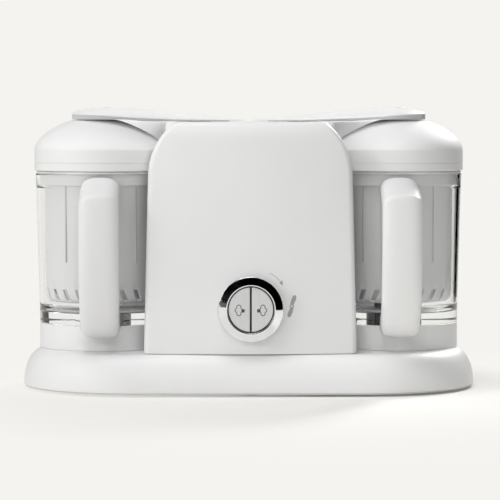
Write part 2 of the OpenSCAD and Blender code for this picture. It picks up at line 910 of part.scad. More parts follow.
module spindle_housing() {
    color("dimgray")
        at_bowl(1)
            difference() {
                union() {
                    translate([0, 0, ceiling_z - housing_flange_t])
                        cylinder(r = housing_flange_r, h = housing_flange_t);
                    translate([0, 0, ceiling_z - 1])
                        cylinder(r = housing_r, h = wall + 1 + housing_wall);
                }
                translate([0, 0, ceiling_z - housing_flange_t - 1])
                    cylinder(r = spindle_r + run_gap, h = wall + housing_flange_t + housing_wall + 4);
            }
}

// A flanged pulley standing at its own place.
module pulley(r, bore) {
    difference() {
        union() {
            translate([0, 0, belt_z - 1])
                cylinder(r = r + belt_t, h = 1);
            translate([0, 0, belt_z])
                cylinder(r = r - part_gap, h = belt_w);
            translate([0, 0, belt_z + belt_w])
                cylinder(r = r + belt_t, h = 1);
        }
        translate([0, 0, belt_z - 2])
            cylinder(r = bore, h = pulley_h + 2);
    }
}

module drive_pulley() {
    color("dimgray")
        at_bowl(1)
            pulley(pulley_big_r, spindle_r);
}

module motor_pulley() {
    color(steel)
        translate([motor_x, bowl_y, 0])
            pulley(pulley_small_r, shaft_r);
}

// Outline of the belt's loop, grown by the given amount.
module belt_2d(grow) {
    hull() {
        translate([motor_x, bowl_y])
            circle(r = pulley_small_r + grow);
        translate([bowl_x, bowl_y])
            circle(r = pulley_big_r + grow);
    }
}

module drive_belt() {
    color("black")
        translate([0, 0, belt_z + part_gap])
            linear_extrude(belt_w - 2 * part_gap)
                difference() {
                    belt_2d(belt_t - part_gap);
                    belt_2d(0);
                }
}

module motor_can() {
    cap = 3;
    color("darkgray")
        translate([motor_x, bowl_y, motor_z])
            difference() {
                cylinder(r = motor_r, h = motor_h);
                translate([0, 0, cap])
                    cylinder(r = motor_r - 2, h = motor_h - 2 * cap);
                translate([0, 0, -1])
                    cylinder(r = shaft_r + run_gap, h = motor_h + 2);
            }
}

module motor_rotor() {
    color("peru")
        translate([motor_x, bowl_y, 0]) {
            translate([0, 0, shaft_low])
                cylinder(r = shaft_r, h = motor_z + motor_h + 2 - shaft_low);
            translate([0, 0, motor_z + 8])
                cylinder(r = motor_r - 8, h = motor_h - 16);
        }
}

module motor_mount() {
    color("dimgray")
        translate([motor_x, bowl_y, base_top])
            tube(motor_r, shaft_r + 6, mount_h);
}

// Everything on the dial's axis is drawn along Y at the dial's height.
module at_dial() {
    translate([0, 0, dial_z])
        children();
}

module dial_ring() {
    groove_r = ring_bore + dial_spring_t + 1;
    color(steel)
        at_dial() {
            difference() {
                union() {
                    translate([0, dial_face, 0])
                        rotate([-90, 0, 0])
                            rotate_extrude()
                                polygon([[ring_bore, 1.2], [ring_bore + 1.2, 0], [dial_r - 3, 0],
                                    [dial_r - 1, 1], [dial_r, 3], [dial_r, dial_out - 0.4],
                                    [ring_bore, dial_out - 0.4]]);
                    rod_y(skirt_r, face_y - 0.5, seat_y - part_gap);
                }
                rod_y(ring_bore, dial_face - 1, seat_y + 1);
                rod_y(groove_r, dial_face + 4, face_y - 1);
            }
            translate([0, 0, lug_at])
                rod_y(lug_r, seat_y - part_gap - 1, seat_y + seat_t + 1);
        }
}

module dial_seat() {
    slack = asin((lug_r + part_gap) / lug_at);
    color("dimgray")
        at_dial()
            difference() {
                union() {
                    rod_y(seat_flange_r, seat_y, seat_y + seat_t);
                    rod_y(seat_tube_r, dial_face + 2.5, seat_y + 1);
                }
                rod_y(button_r + part_gap, dial_face + 1, seat_y);
                for (s = [-1, 1])
                    translate([s * stem_x, 0, 0])
                        rod_y(stem_r + run_gap, seat_y - 1, seat_y + seat_t + 1);
                translate([0, seat_y - 1, 0])
                    rotate([-90, 0, 0])
                        rotate_extrude(angle = dial_turn + 2 * slack, start = -90 - slack)
                            translate([lug_at - lug_r - part_gap, 0])
                                square([2 * (lug_r + part_gap), seat_t + 2]);
            }
}

module dial_spring() {
    color(steel)
        at_dial()
            difference() {
                rod_y(ring_bore + part_gap + dial_spring_t, dial_face + 0.4 * dial_out, face_y - 0.14 * dial_out);
                rod_y(ring_bore + part_gap, dial_face + 4, face_y - 1);
            }
}

module steam_button(side) {
    front = dial_face + 0.9;
    color(steel)
        at_dial()
            at_side(side) {
                intersection() {
                    rod_y(button_r, front, button_back);
                    translate([button_slit / 2, front - 1, -dial_r])
                        cube([dial_r, dial_out + 6, 2 * dial_r]);
                }
                translate([stem_x, 0, 0])
                    rod_y(stem_r, button_back - 0.5, stem_end);
            }
}

module button_spring(side) {
    color("gray")
        at_dial()
            at_side(side)
                translate([stem_x, 0, 0])
                    difference() {
                        rod_y(stem_r + 2, button_back, seat_y);
                        rod_y(stem_r + part_gap, button_back - 1, seat_y + 1);
                    }
}

module control_board() {
    color("green")
        translate([-board_w / 2, board_y, dial_z - board_h / 2])
            cube([board_w, board_t, board_h]);
}

module microswitches() {
    top_y = stem_end + button_travel + part_gap;
    color("black")
        at_dial() {
            for (s = [-1, 1])
                translate([s * stem_x - switch_w / 2, top_y, -switch_w / 2])
                    cube([switch_w, board_y - top_y, switch_w]);
            rotate([0, dial_turn, 0])
                translate([-switch_w / 2, top_y, lug_at - switch_w / 2])
                    cube([switch_w, board_y - top_y, switch_w]);
        }
}

module cord_gland() {
    color("black")
        translate([0, 0, gland_z])
            difference() {
                union() {
                    rod_y(gland_r, end_r - wall - 8, end_r - 2);
                    rod_y(gland_r + 2, end_r - 2, end_r);
                }
                rod_y(cord_bore_r, end_r - 30, end_r + 1);
            }
}

base_cover();
base_plate();
rubber_feet();
base_screws();
bowl_seat(-1);  // left_bowl_seat
bowl_seat(1);  // right_bowl_seat
front_panel();
column_shell();
rear_cover();
steam_tower(-1);  // left_steam_tower
steam_tower(1);  // right_steam_tower
boiler(-1);  // left_boiler
boiler(1);  // right_boiler
heater(-1);  // left_heater
heater(1);  // right_heater
thermostats();
neck_gaskets();
steam_hose(-1);  // left_steam_hose
steam_hose(1);  // right_steam_hose
arm(-1);  // left_arm
arm(1);  // right_arm
stopper(-1);  // left_stopper
stopper(1);  // right_stopper
stopper_seal(-1);  // left_stopper_seal
stopper_seal(1);  // right_stopper_seal
lid(-1);  // left_lid
lid(1);  // right_lid
lid_seal(-1);  // left_lid_seal
lid_seal(1);  // right_lid_seal
bowl(-1);  // left_bowl
bowl(1);  // right_bowl
basket(-1);  // left_basket
basket(1);  // right_basket
collar(-1);  // left_collar
collar(1);  // right_collar
handle(-1);  // left_handle
handle(1);  // right_handle
floor_plug();  // left_floor_plug
blade_bearing();
blade_unit();
blade_coupling();
drive_spindle();
spindle_housing();
drive_pulley();
drive_belt();
motor_can();
motor_rotor();
motor_pulley();
motor_mount();
dial_ring();
dial_seat();
dial_spring();
steam_button(-1);  // left_steam_button
steam_button(1);  // right_steam_button
button_spring(-1);  // left_button_spring
button_spring(1);  // right_button_spring
control_board();
microswitches();
cord_gland();
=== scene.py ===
import math

import bmesh
import bpy
from bpy.props import FloatProperty, FloatVectorProperty, IntProperty, PointerProperty
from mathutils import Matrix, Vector


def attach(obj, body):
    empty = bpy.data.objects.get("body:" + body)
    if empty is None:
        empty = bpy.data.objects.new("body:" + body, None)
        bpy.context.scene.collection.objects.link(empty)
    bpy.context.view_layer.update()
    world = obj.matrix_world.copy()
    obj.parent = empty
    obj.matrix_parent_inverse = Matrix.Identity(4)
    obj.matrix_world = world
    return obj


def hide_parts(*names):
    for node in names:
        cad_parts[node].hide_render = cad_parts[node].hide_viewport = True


bl_info = {
    "name": "Twin Bowl Baby Food Maker",
    "version": (1, 0, 0),
    "blender": (4, 5, 0),
    "location": "View3D > Sidebar > Food Maker",
    "description": "Builds the visible pieces of a twin-bowl steamer around its packed frame",
    "category": "Object",
}

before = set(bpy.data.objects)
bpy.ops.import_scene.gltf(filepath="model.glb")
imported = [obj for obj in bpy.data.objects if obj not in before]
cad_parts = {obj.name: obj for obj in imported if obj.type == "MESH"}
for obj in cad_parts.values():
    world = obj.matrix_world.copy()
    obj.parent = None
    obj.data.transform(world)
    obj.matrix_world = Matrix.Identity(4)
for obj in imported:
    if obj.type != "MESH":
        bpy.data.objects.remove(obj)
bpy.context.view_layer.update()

MM = 0.001
SIDES = (("left", -1), ("right", 1))

# Places and measures that follow the frame, in millimetres.
BOWL_X = 130
BOWL_Y = 6
BASE_TOP = 35
BASE_RADIUS = 98
END_X = 102
COLUMN_TOP = 234.8
FRONT_Y = -84
REAR_Y = 80
POCKET_RADIUS = 64.5
LOUVRE_LOW = 65
LOUVRE_PITCH = 9
LOUVRE_GAP = 3
LOUVRES = 6
LOUVRE_HALF = 30
TOWER_INNER = 74.5
TOWER_OUTER = 118
TOWER_TOP = 234.5
LID_LOW = 191.5
LID_TOP = 236.6
BOWL_LOW = 57
BOWL_TOP = 189
BASKET_LOW = 76
BASKET_TOP = 183
BEAD_LOW = 112
SLOTS_TOP = 88
DIAL_Z = 74.8
DIAL_FACE = -95.5
DIAL_HOLE = 27.3
BUTTON_FACE = DIAL_FACE + 0.9
STOPPER_X = 44
ARM_TIP_X = 11.5
ARM_TIP = 7.0
ARM_HEAD_X = 128.0
ARM_HEAD = 29.0
ARM_LOW = 236.95
ARM_TIP_LOW = 235.9
ARM_TIP_END = 17
PAD_X = 129
SCREW_HEAD_Z = 2.0


def mm(value):
    """A property in metres, as millimetres."""
    return value / MM


# ------------------------------------------------------------------ outlines


def rounded(corners, steps=5, closed=True):
    """Outline whose corners, each (across, up, radius), are rounded with arcs."""
    outline = []
    count = len(corners)
    for index, (across, up, radius) in enumerate(corners):
        point = Vector((across, up))
        if radius == 0 or (not closed and index in (0, count - 1)):
            outline.append((across, up))
            continue
        back = Vector(corners[index - 1][:2]) - point
        ahead = Vector(corners[(index + 1) % count][:2]) - point
        half = 0.5 * back.angle(ahead)
        reach = min(radius / math.tan(half), 0.49 * back.length, 0.49 * ahead.length)
        radius = reach * math.tan(half)
        centre = point + (back.normalized() + ahead.normalized()).normalized() * radius / math.sin(half)
        start = point + back.normalized() * reach - centre
        end = point + ahead.normalized() * reach - centre
        first = math.atan2(start.y, start.x)
        sweep = (math.atan2(end.y, end.x) - first + math.pi) % math.tau - math.pi
        for step in range(steps + 1):
            outline.append(polar(*centre, radius, first + sweep * step / steps))
    return outline


def between(table, value):
    """Smoothly interpolated column values of a table whose rows start with their key."""
    keys = [row[0] for row in table]
    value = min(max(value, keys[0]), keys[-1])
    index = max(i for i in range(len(keys) - 1) if keys[i] <= value)
    low, high = table[index], table[index + 1]
    before = table[max(index - 1, 0)]
    after = table[min(index + 2, len(table) - 1)]
    span = high[0] - low[0]
    t = (value - low[0]) / span
    result = []
    for c in range(1, len(low)):
        rise_low = (high[c] - before[c]) / (high[0] - before[0]) * span
        rise_high = (after[c] - low[c]) / (after[0] - low[0]) * span
        result.append(
            (2 * t**3 - 3 * t**2 + 1) * low[c]
            + (t**3 - 2 * t**2 + t) * rise_low
            + (3 * t**2 - 2 * t**3) * high[c]
            + (t**3 - t**2) * rise_high
        )
    return result


def polar(x, y, radius, angle):
    """The point at a distance and an angle in radians from a centre."""
    return (x + radius * math.cos(angle), y + radius * math.sin(angle))


def whole_turn(count, start=0):
    """Evenly spaced angles around a full turn."""
    return [math.tau * k / count + start for k in range(count)]


def upright(across, depth):
    """Placement of a form turned around an upright axis."""
    return lambda x, y, z: (across + x, depth + y, z)


def facing(across, height, face):
    """Placement of a form turned around an axis that points to the front, level 0 at the face."""
    return lambda x, y, z: (across + x, face - z, height + y)


# ------------------------------------------------------------------- shapes


ROUND_STEPS = 4


class Shape:
    """Rings of points and the faces between them, in millimetres."""

    def __init__(self):
        self.points = []
        self.faces = []
        self.slots = []

    def ring(self, points):
        """Adds points and returns their indices."""
        first = len(self.points)
        self.points.extend(points)
        return list(range(first, len(self.points)))

    def face(self, corners, slot=0):
        """Adds a face, without the corners that repeat."""
        corners = [c for i, c in enumerate(corners) if c != corners[i - 1]]
        if len(corners) > 2:
            self.faces.append(corners)
            self.slots.append(slot)

    def bridge(self, low, high, closed=True, slot=0):
        """Faces between two rings. A list of slots gives each segment its own."""
        count = len(low)
        for i in range(count if closed else count - 1):
            j = (i + 1) % count
            self.face((low[i], low[j], high[j], high[i]), slot[i] if isinstance(slot, list) else slot)

    def stack(self, rings, loop=False, slot=0):
        """Skins a row of rings and returns their indices."""
        made = [self.ring(points) for points in rings]
        for low, high in zip(made, made[1:] + made[:1] if loop else made[1:]):
            self.bridge(low, high, slot=slot)
        return made

    def fan(self, ring, centre, flip=False):
        """Triangles from a ring to a point in its middle."""
        middle = self.ring([centre])[0]
        for i in range(len(ring)):
            pair = (ring[i], ring[(i + 1) % len(ring)])
            self.face((middle, *(pair[::-1] if flip else pair)))

    def lathe(self, profile, place, loop=True, count=96):
        """A profile of (radius, height) turned around an axis."""
        turn = whole_turn(count)
        rings = [[place(*polar(0, 0, radius, a), height) for a in turn] for radius, height in profile]
        self.stack(rings, loop)

    def prism(self, outline, place, low, high, round_low, round_high):
        """A closed outline carried from low to high, its ends rounded in."""
        turn = [0.5 * math.pi * step / ROUND_STEPS for step in range(ROUND_STEPS + 1)]
        rows = []
        for a in turn if round_low else turn[:1]:
            rows.append((low + round_low * (1 - math.cos(a)), round_low * (1 - math.sin(a))))
        for a in turn if round_high else turn[:1]:
            rows.append((high - round_high * (1 - math.sin(a)), round_high * (1 - math.cos(a))))
        rings = [[place(x, y, level) for x, y in shrunk(outline, inset)] for level, inset in rows]
        made = self.stack(rings)
        self.face(made[0][::-1])
        self.face(made[-1])

    def piece(self, name, materials, side=1, smooth=35, outward=True, wall=0):
        """The mesh object. A piece of the left side is the mirror image of the right one."""
        mesh = bpy.data.meshes.new(name)
        mesh.from_pydata([(side * x * MM, y * MM, z * MM) for x, y, z in self.points], [], self.faces)
        for polygon, slot in zip(mesh.polygons, self.slots):
            polygon.material_index = slot
        for material in materials:
            mesh.materials.append(material)
        work = bmesh.new()
        work.from_mesh(mesh)
        if side < 0:
            bmesh.ops.reverse_faces(work, faces=work.faces)
        bmesh.ops.remove_doubles(work, verts=work.verts, dist=2e-6)
        if outward:
            bmesh.ops.recalc_face_normals(work, faces=work.faces)
        work.to_mesh(mesh)
        work.free()
        piece = shaded(linked(name, mesh), smooth)
        if wall:
            thickened(piece, wall * MM)
        return piece


def linked(name, data):
    """A new object of the scene."""
    made = bpy.data.objects.new(name, data)
    bpy.context.scene.collection.objects.link(made)
    return made


def shaded(piece, angle=35):
    """Smooth shading with sharp edges above an angle in degrees."""
    piece.data.shade_smooth()
    piece.data.set_sharp_from_angle(angle=math.radians(angle))
    return piece


def thickened(piece, wall, even=True):
    """Gives a skin its wall, to the inside."""
    skin = piece.modifiers.new("Wall", "SOLIDIFY")
    skin.thickness = wall
    skin.offset = -1
    skin.use_even_offset = even


def shrunk(outline, inset):
    """A closed outline moved inwards along its own corners."""
    if not inset:
        return outline
    area = sum(a[0] * b[1] - b[0] * a[1] for a, b in zip(outline, outline[1:] + outline[:1]))
    sign = 1 if area > 0 else -1
    result = []
    for index, (x, y) in enumerate(outline):
        back = Vector((x, y)) - Vector(outline[index - 1])
        ahead = Vector(outline[(index + 1) % len(outline)]) - Vector((x, y))
        turn = (back.normalized() + ahead.normalized()).normalized()
        spread = max(0.5, abs(turn.dot(ahead.normalized())))
        result.append((x - sign * turn.y * inset / spread, y + sign * turn.x * inset / spread))
    return result


def baked(piece):
    """Replaces a piece's mesh by the result of its modifiers."""
    graph = bpy.context.evaluated_depsgraph_get()
    mesh = bpy.data.meshes.new_from_object(piece.evaluated_get(graph))
    mesh.name = piece.name
    piece.modifiers.clear()
    piece.data = mesh
    return piece


def carved(piece, cutter):
    """Cuts a tool shape out of a piece and removes the tool."""
    cut = piece.modifiers.new("Cut", "BOOLEAN")
    cut.operation = "DIFFERENCE"
    cut.solver = "EXACT"
    cut.object = cutter
    baked(piece)
    bpy.data.objects.remove(cutter)
    return shaded(piece, 30)


def dress(piece, body, nodes, even=True):
    """Evens a piece's shading, hangs it on its body's empty and hides the frame's parts that it stands in
    for.
    """
    if even:
        shading = piece.modifiers.new("Shading", "WEIGHTED_NORMAL")
        shading.keep_sharp = True
    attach(piece, body)
    if nodes:
        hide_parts(*nodes)
    return piece


def turned(name, look, profile, place, side=1, loop=True, count=96):
    """A piece that is one profile turned around its axis."""
    shape = Shape()
    shape.lathe(profile, place, loop, count)
    return shape.piece(name, [finish(look)], side)


# -------------------------------------------------------------------- nodes


class Value:
    """An output of a node tree. Arithmetic on it adds Math nodes."""

    def __init__(self, graph, socket):
        self.graph = graph
        self.socket = socket

    def _math(self, operation, first, second):
        return self.graph.add("ShaderNodeMath", {0: first, 1: second}, operation=operation)

    def __add__(self, other):
        return self._math("ADD", self, other)

    def __radd__(self, other):
        return self._math("ADD", other, self)

    def __mul__(self, other):
        return self._math("MULTIPLY", self, other)

    def __rmul__(self, other):
        return self._math("MULTIPLY", other, self)

    def __gt__(self, other):
        return self._math("GREATER_THAN", self, other)

    def __lt__(self, other):
        return self._math("LESS_THAN", self, other)


class Graph:
    """Builds the nodes of a material, a world or a geometry tree."""

    def __init__(self, tree):
        self.tree = tree
        tree.nodes.clear()

    def add(self, kind, inputs=None, out=0, **settings):
        """Adds a node: its settings first, then the values or links of its sockets.

        A list links several values to one socket. The result is the chosen output."""
        node = self.tree.nodes.new(kind)
        for key, value in settings.items():
            setattr(node, key, value)
        for key, value in (inputs or {}).items():
            for item in value if isinstance(value, list) else [value]:
                if isinstance(item, Value):
                    self.tree.links.new(item.socket, node.inputs[key])
                else:
                    node.inputs[key].default_value = item
        return Value(self, node.outputs[out]) if len(node.outputs) else node

    def mix(self, factor, first, second):
        """Blends two colours."""
        return self.add("ShaderNodeMix", {"Factor": factor, 6: first, 7: second}, 2, data_type="RGBA")

    def place(self, scale=(1, 1, 1), shift=(0, 0, 0)):
        """Object coordinates, stretched and moved."""
        spot = self.add("ShaderNodeTexCoord", out="Object")
        return self.add("ShaderNodeMapping", {"Vector": spot, "Scale": scale, "Location": shift})

    def noise(self, scale, detail=3, stretch=(1, 1, 1)):
        """Cloudy noise on object coordinates."""
        spot = self.place(stretch)
        return self.add("ShaderNodeTexNoise", {"Vector": spot, "Scale": scale, "Detail": detail})

    def spread(self, value, low, high, start=0.0, end=1.0):
        """A value mapped from one range to another."""
        limits = {"From Min": low, "From Max": high, "To Min": start, "To Max": end}
        return self.add("ShaderNodeMapRange", {"Value": value, **limits})

    def bump(self, height, strength, distance=0.0002):
        """A normal that follows a height."""
        inputs = {"Height": height, "Strength": strength, "Distance": distance}
        return self.add("ShaderNodeBump", inputs)

    def surface(self, colour, roughness, normal, passing=None, **fixed):
        """The shader and the output. Fixed values go straight to the shader's own sockets.

        A passing colour lets the lamps' light and what it bounces off through the piece."""
        inputs = {"Base Color": colour, "Roughness": roughness, "Normal": normal, **fixed}
        shader = self.add("ShaderNodeBsdfPrincipled", inputs)
        if passing is not None:
            open_way = self.add("ShaderNodeBsdfTransparent", {"Color": rgba(passing)})
            for ray in ("Is Diffuse Ray", "Is Shadow Ray"):
                shader = self.add("ShaderNodeMixShader", {0: self.seen_by(ray), 1: shader, 2: open_way})
        self.add("ShaderNodeOutputMaterial", {"Surface": shader})

    def seen_by(self, ray):
        """1 for one kind of ray, 0 for the others."""
        return self.add("ShaderNodeLightPath", out=ray)


def grey(level):
    return (level, level, level)


def rgba(colour, factor=1.0):
    """A colour with its alpha, lightened or darkened by a factor."""
    return (colour[0] * factor, colour[1] * factor, colour[2] * factor, 1.0)


def material(name):
    """A new material and the graph that fills it."""
    made = bpy.data.materials.new(name)
    made.use_nodes = True
    return made, Graph(made.node_tree)


def moulded(name, colour, roughness, grain=0.04, coat=0.0, polish=0.12):
    """Injection-moulded plastic: a faint cloud in its tone, a fine spark-eroded grain and soft sheen."""
    made, g = material(name)
    cloud = g.spread(g.noise(9, 4), 0.35, 0.65)
    fine = g.noise(2600, 2)
    gloss = g.spread(g.noise(26, 5), 0.3, 0.7, roughness - 0.035, roughness + 0.045)
    relief = g.bump(fine * 0.5 + g.noise(38, 2) * 0.35, grain)
    fixed = {"Coat Weight": coat, "Coat Roughness": polish, "IOR": 1.48}
    g.surface(g.mix(cloud, rgba(colour, 0.97), rgba(colour)), gloss, relief, **fixed)
    return made


def clear_plastic(name, tint):
    """Clear copolyester of the bowls, with faint wiping marks."""
    made, g = material(name)
    wipe = g.noise(60, 4, (1, 1, 0.12))
    cloud = g.spread(g.noise(12, 3), 0.3, 0.7)
    gloss = g.spread(wipe, 0.45, 0.75, 0.015, 0.06)
    fixed = {"Transmission Weight": 1.0, "IOR": 1.38}
    tone_out = g.mix(cloud, rgba(tint, 0.985), rgba(tint))
    g.surface(tone_out, gloss, g.bump(wipe, 0.02), grey(0.95), **fixed)
    return made


def frosted_plastic(name, tint):
    """Milky polypropylene of the baskets. Light from the lamps passes through it."""
    made, g = material(name)
    cloud = g.spread(g.noise(14, 4), 0.3, 0.7)
    gloss = g.spread(g.noise(420, 3), 0.3, 0.7, 0.34, 0.48)
    relief = g.bump(g.noise(1800, 2), 0.05)
    g.surface(g.mix(cloud, rgba(tint, 0.96), rgba(tint)), gloss, relief, grey(0.85), IOR=1.3)
    return made


def rubbery(name, colour, roughness):
    """Rubber or silicone: matt, with a fine bloom and a soft edge sheen."""
    made, g = material(name)
    bloom = g.noise(35, 5)
    cloud = g.spread(bloom, 0.4, 0.7)
    gloss = g.spread(bloom, 0.3, 0.7, roughness - 0.08, roughness + 0.1)
    relief = g.bump(g.noise(1500, 3), 0.12)
    fixed = {"Sheen Weight": 0.15, "IOR": 1.42}
    g.surface(g.mix(cloud, rgba(colour), rgba(colour, 1.35)), gloss, relief, **fixed)
    return made


def metal(name, colour, roughness, stretch, scale, depth=0.06, mottle=0.0):
    """Metal whose brushing or cast skin is a noise, stretched along its height."""
    made, g = material(name)
    brushed = g.noise(scale, 3, (1, 1, stretch))
    colour_out = g.mix(g.spread(brushed, 0.3, 0.7), rgba(colour, 0.9), rgba(colour))
    stain = g.spread(g.noise(22, 5), 0.45, 0.75, 0, mottle)
    gloss = g.spread(brushed, 0.3, 0.7, roughness * 0.8, roughness * 1.25)
    g.surface(g.mix(stain, colour_out, rgba(colour, 0.6)), gloss, g.bump(brushed, depth), Metallic=1.0)
    return made


def chrome(name, colour):
    """Chromed plastic: mirror bright, with the faintest orange peel."""
    made, g = material(name)
    peel = g.noise(160, 2)
    haze = g.spread(g.noise(45, 4), 0.4, 0.8, 0.03, 0.09)
    colour_out = g.mix(g.spread(peel, 0.3, 0.7), rgba(colour, 0.97), rgba(colour))
    g.surface(colour_out, haze, g.bump(peel, 0.015), Metallic=1.0)
    return made


def satin(name, colour):
    """Silver paint with fine upright brushing and flakes."""
    made, g = material(name)
    brushed = g.noise(900, 3, (1, 1, 0.05))
    flakes = g.spread(g.noise(4200, 2), 0.6, 0.8, 0, 0.3)
    colour_out = g.mix(g.spread(brushed, 0.3, 0.7), rgba(colour, 0.93), rgba(colour))
    colour_out = g.mix(flakes, colour_out, rgba(colour, 1.25))
    gloss = g.spread(brushed, 0.3, 0.7, 0.36, 0.48)
    g.surface(colour_out, gloss, g.bump(brushed, 0.04), Metallic=0.2)
    return made


def winding(name):
    """Rotor: copper turns between dark laminations."""
    made, g = material(name)
    height = g.add("ShaderNodeSeparateXYZ", {0: g.place()}, 2)
    turns = g.add("ShaderNodeMath", {0: height * 5200.0}, operation="SINE")
    band = g.add("ShaderNodeMath", {0: height, 1: 0.022}, operation="PINGPONG")
    colour = g.mix(band > 0.011, rgba((0.16, 0.17, 0.18)), rgba((0.72, 0.31, 0.14)))
    g.surface(colour, g.spread(turns, -1, 1, 0.3, 0.5), g.bump(turns, 0.3), Metallic=0.9)
    return made


def board(name):
    """Circuit board: green varnish over copper tracks, with tinned pads."""
    made, g = material(name)
    spots = {"Vector": g.place(), "Scale": 190.0, "Randomness": 0.35}
    cells = g.add("ShaderNodeTexVoronoi", spots, distance="CHEBYCHEV", feature="F1")
    lines = {"Vector": g.place(), "Scale": 42.0, "Mortar Size": 0.045, "Brick Width": 0.7}
    tracks = g.add("ShaderNodeTexBrick", lines, "Fac")
    pads = cells < 0.24
    green = g.mix(tracks, rgba((0.008, 0.12, 0.05)), rgba((0.02, 0.22, 0.1)))
    fixed = {"Coat Weight": 0.4}
    gloss = g.spread(pads, 0, 1, 0.22, 0.35)
    g.surface(g.mix(pads, green, rgba((0.62, 0.62, 0.6))), gloss, g.bump(tracks, 0.2), **fixed)
    return made


def printed(name, colour):
    """Pad-printed ink, slightly uneven."""
    made, g = material(name)
    patch = g.noise(900, 3)
    colour_out = g.mix(g.spread(patch, 0.35, 0.65), rgba(colour, 0.92), rgba(colour))
    g.surface(colour_out, g.spread(patch, 0.3, 0.7, 0.4, 0.55), g.bump(patch, 0.05, 0.0001))
    return made


# Each look's maker, its material's name and its values. A word stands for a colour property.
LOOKS = {
    "shell": (moulded, "white_shell_plastic", "shell", 0.46),
    "panel": (moulded, "white_panel_plastic", "panel", 0.46),
    "lid": (moulded, "white_lid_plastic", "shell", 0.55, 0.04, 0.06, 0.5),
    "plate": (moulded, "pale_plate_plastic", grey(0.62), 0.5, 0.1),
    # Painted shade: this grey stands in for the shade on the arms' drawn-in undersides and beside the
    # baskets' beads. Those parts are of the same white and frosted plastic as the rest.
    "liner": (moulded, "grey_liner_plastic", grey(0.6), 0.35, 0.06),
    "dark": (moulded, "dark_grey_plastic", (0.035, 0.036, 0.038), 0.45, 0.12),
    "grey": (moulded, "mid_grey_plastic", grey(0.3), 0.42, 0.1),
    "hub": (moulded, "black_hub_plastic", (0.012, 0.012, 0.013), 0.3, 0.05),
    "clear": (clear_plastic, "clear_bowl_plastic", "bowl"),
    "frosted": (frosted_plastic, "frosted_basket_plastic", "basket"),
    "rubber": (rubbery, "black_rubber", grey(0.014), 0.68),
    "pale": (rubbery, "pale_silicone", (0.6, 0.6, 0.59), 0.5),
    "red": (rubbery, "red_silicone", (0.42, 0.05, 0.03), 0.5),
    "steel": (metal, "brushed_steel", (0.62, 0.62, 0.63), 0.3, 14, 120),
    "zinc": (metal, "zinc_plated_steel", (0.66, 0.67, 0.7), 0.36, 1, 260, 0.1, 0.2),
    "boiler": (metal, "boiler_steel", (0.68, 0.66, 0.62), 0.28, 18, 90, 0.05, 0.25),
    "cast": (metal, "cast_aluminium", (0.6, 0.6, 0.61), 0.5, 1, 700, 0.3, 0.15),
    "chrome": (chrome, "chromed_ring", "chrome"),
    "satin": (satin, "satin_button_paint", "button"),
    "copper": (winding, "rotor_winding"),
    "board": (board, "circuit_board"),
    "ink": (printed, "grey_print", grey(0.36)),
    "dark_ink": (printed, "dark_print", grey(0.1)),
}
FINISHES = {}


def finish(key):
    """A shared material, made when it is first asked for."""
    if key not in FINISHES:
        maker, name, *values = LOOKS[key]
        colours = bpy.context.scene.food_maker_colours
        values = [getattr(colours, v) if isinstance(v, str) else v for v in values]
        FINISHES[key] = maker(name, *values)
    return FINISHES[key]


# --------------------------------------------------------------- properties


def length(title, text, default):
    """A size in metres."""
    return FloatProperty(name=title, description=text, default=default, unit="LENGTH", precision=4)


def number(title, text, default):
    """A plain number."""
    return FloatProperty(name=title, description=text, default=default)


def angle_of(title, text, degrees):
    """An angle, given in degrees."""
    turn = math.radians(degrees)
    return FloatProperty(name=title, description=text, default=turn, unit="ROTATION")


def watts(title, text, default):
    """The power of a lamp in watts."""
    return FloatProperty(name=title, description=text, default=default, unit="POWER")


class FoodMakerSizes(bpy.types.PropertyGroup):
    """Sizes that shape the visible pieces."""

    skirt_round: length("Skirt round", "How far the base's skirt rounds in to its top", 0.018)
    column_half_low: length("Column half width low", "Half width of the column at the base", 0.092)
    column_half_high: length("Column half width high", "Half width under the shoulders", 0.0882)
    shoulder_radius: length("Shoulder radius", "Radius of the column's shoulders", 0.060)
    front_radius: length("Front radius", "Radius of the gentle curve of the front", 0.560)
    corner_radius: length("Corner radius", "Radius of the column's upright edges", 0.0055)
    brow_height: length("Brow height", "Height over which the front rounds into the top", 0.014)
    wall: length("Wall", "Wall of the moulded covers", 0.003)
    bowl_radius_low: length("Bowl radius low", "Outer radius of a bowl at its foot", 0.0559)
    bowl_radius_high: length("Bowl radius high", "Outer radius of a bowl at its rim", 0.0592)
    bowl_wall: length("Bowl wall", "Wall of a bowl", 0.003)
    lid_radius: length("Lid radius", "Outer radius of a lid's rim", 0.0604)
    crown_radius: length("Crown radius", "Radius of a lid's flat crown", 0.017)
    crown_offset: length("Crown offset", "How far a crown lies outboard of its bowl", 0.0064)
    handle_width: length("Handle width", "Width of a handle", 0.0348)
    dial_radius: length("Dial radius", "Outer radius of the dial's ring", 0.0285)
    button_radius: length("Button radius", "Radius of the pair of half-round buttons", 0.0191)
    slit: length("Slit", "Slit between the two buttons", 0.0015)
    slot_count: IntProperty(name="Slot count", description="Drain slots around a basket", default=24)


def tone(title, text, default):
    """A colour of a finish."""
    fixed = {"subtype": "COLOR", "min": 0, "max": 1, "size": 3}
    return FloatVectorProperty(name=title, description=text, default=default, **fixed)


class FoodMakerColours(bpy.types.PropertyGroup):
    """Colours of the finishes."""

    shell: tone("Shell", "White of the base, arms and lids", grey(0.84))
    panel: tone("Panel", "White of the column and the handles", grey(0.81))
    bowl: tone("Bowl", "Tint of the clear bowls", (0.945, 0.95, 0.95))
    basket: tone("Basket", "Tint of the frosted baskets", grey(0.84))
    chrome: tone("Chrome", "Tint of the dial's ring", (0.86, 0.87, 0.88))
    button: tone("Buttons", "Tint of the steam buttons", grey(0.7))
    backdrop: tone("Backdrop", "Colour of the floor and backdrop", (0.905, 0.896, 0.863))


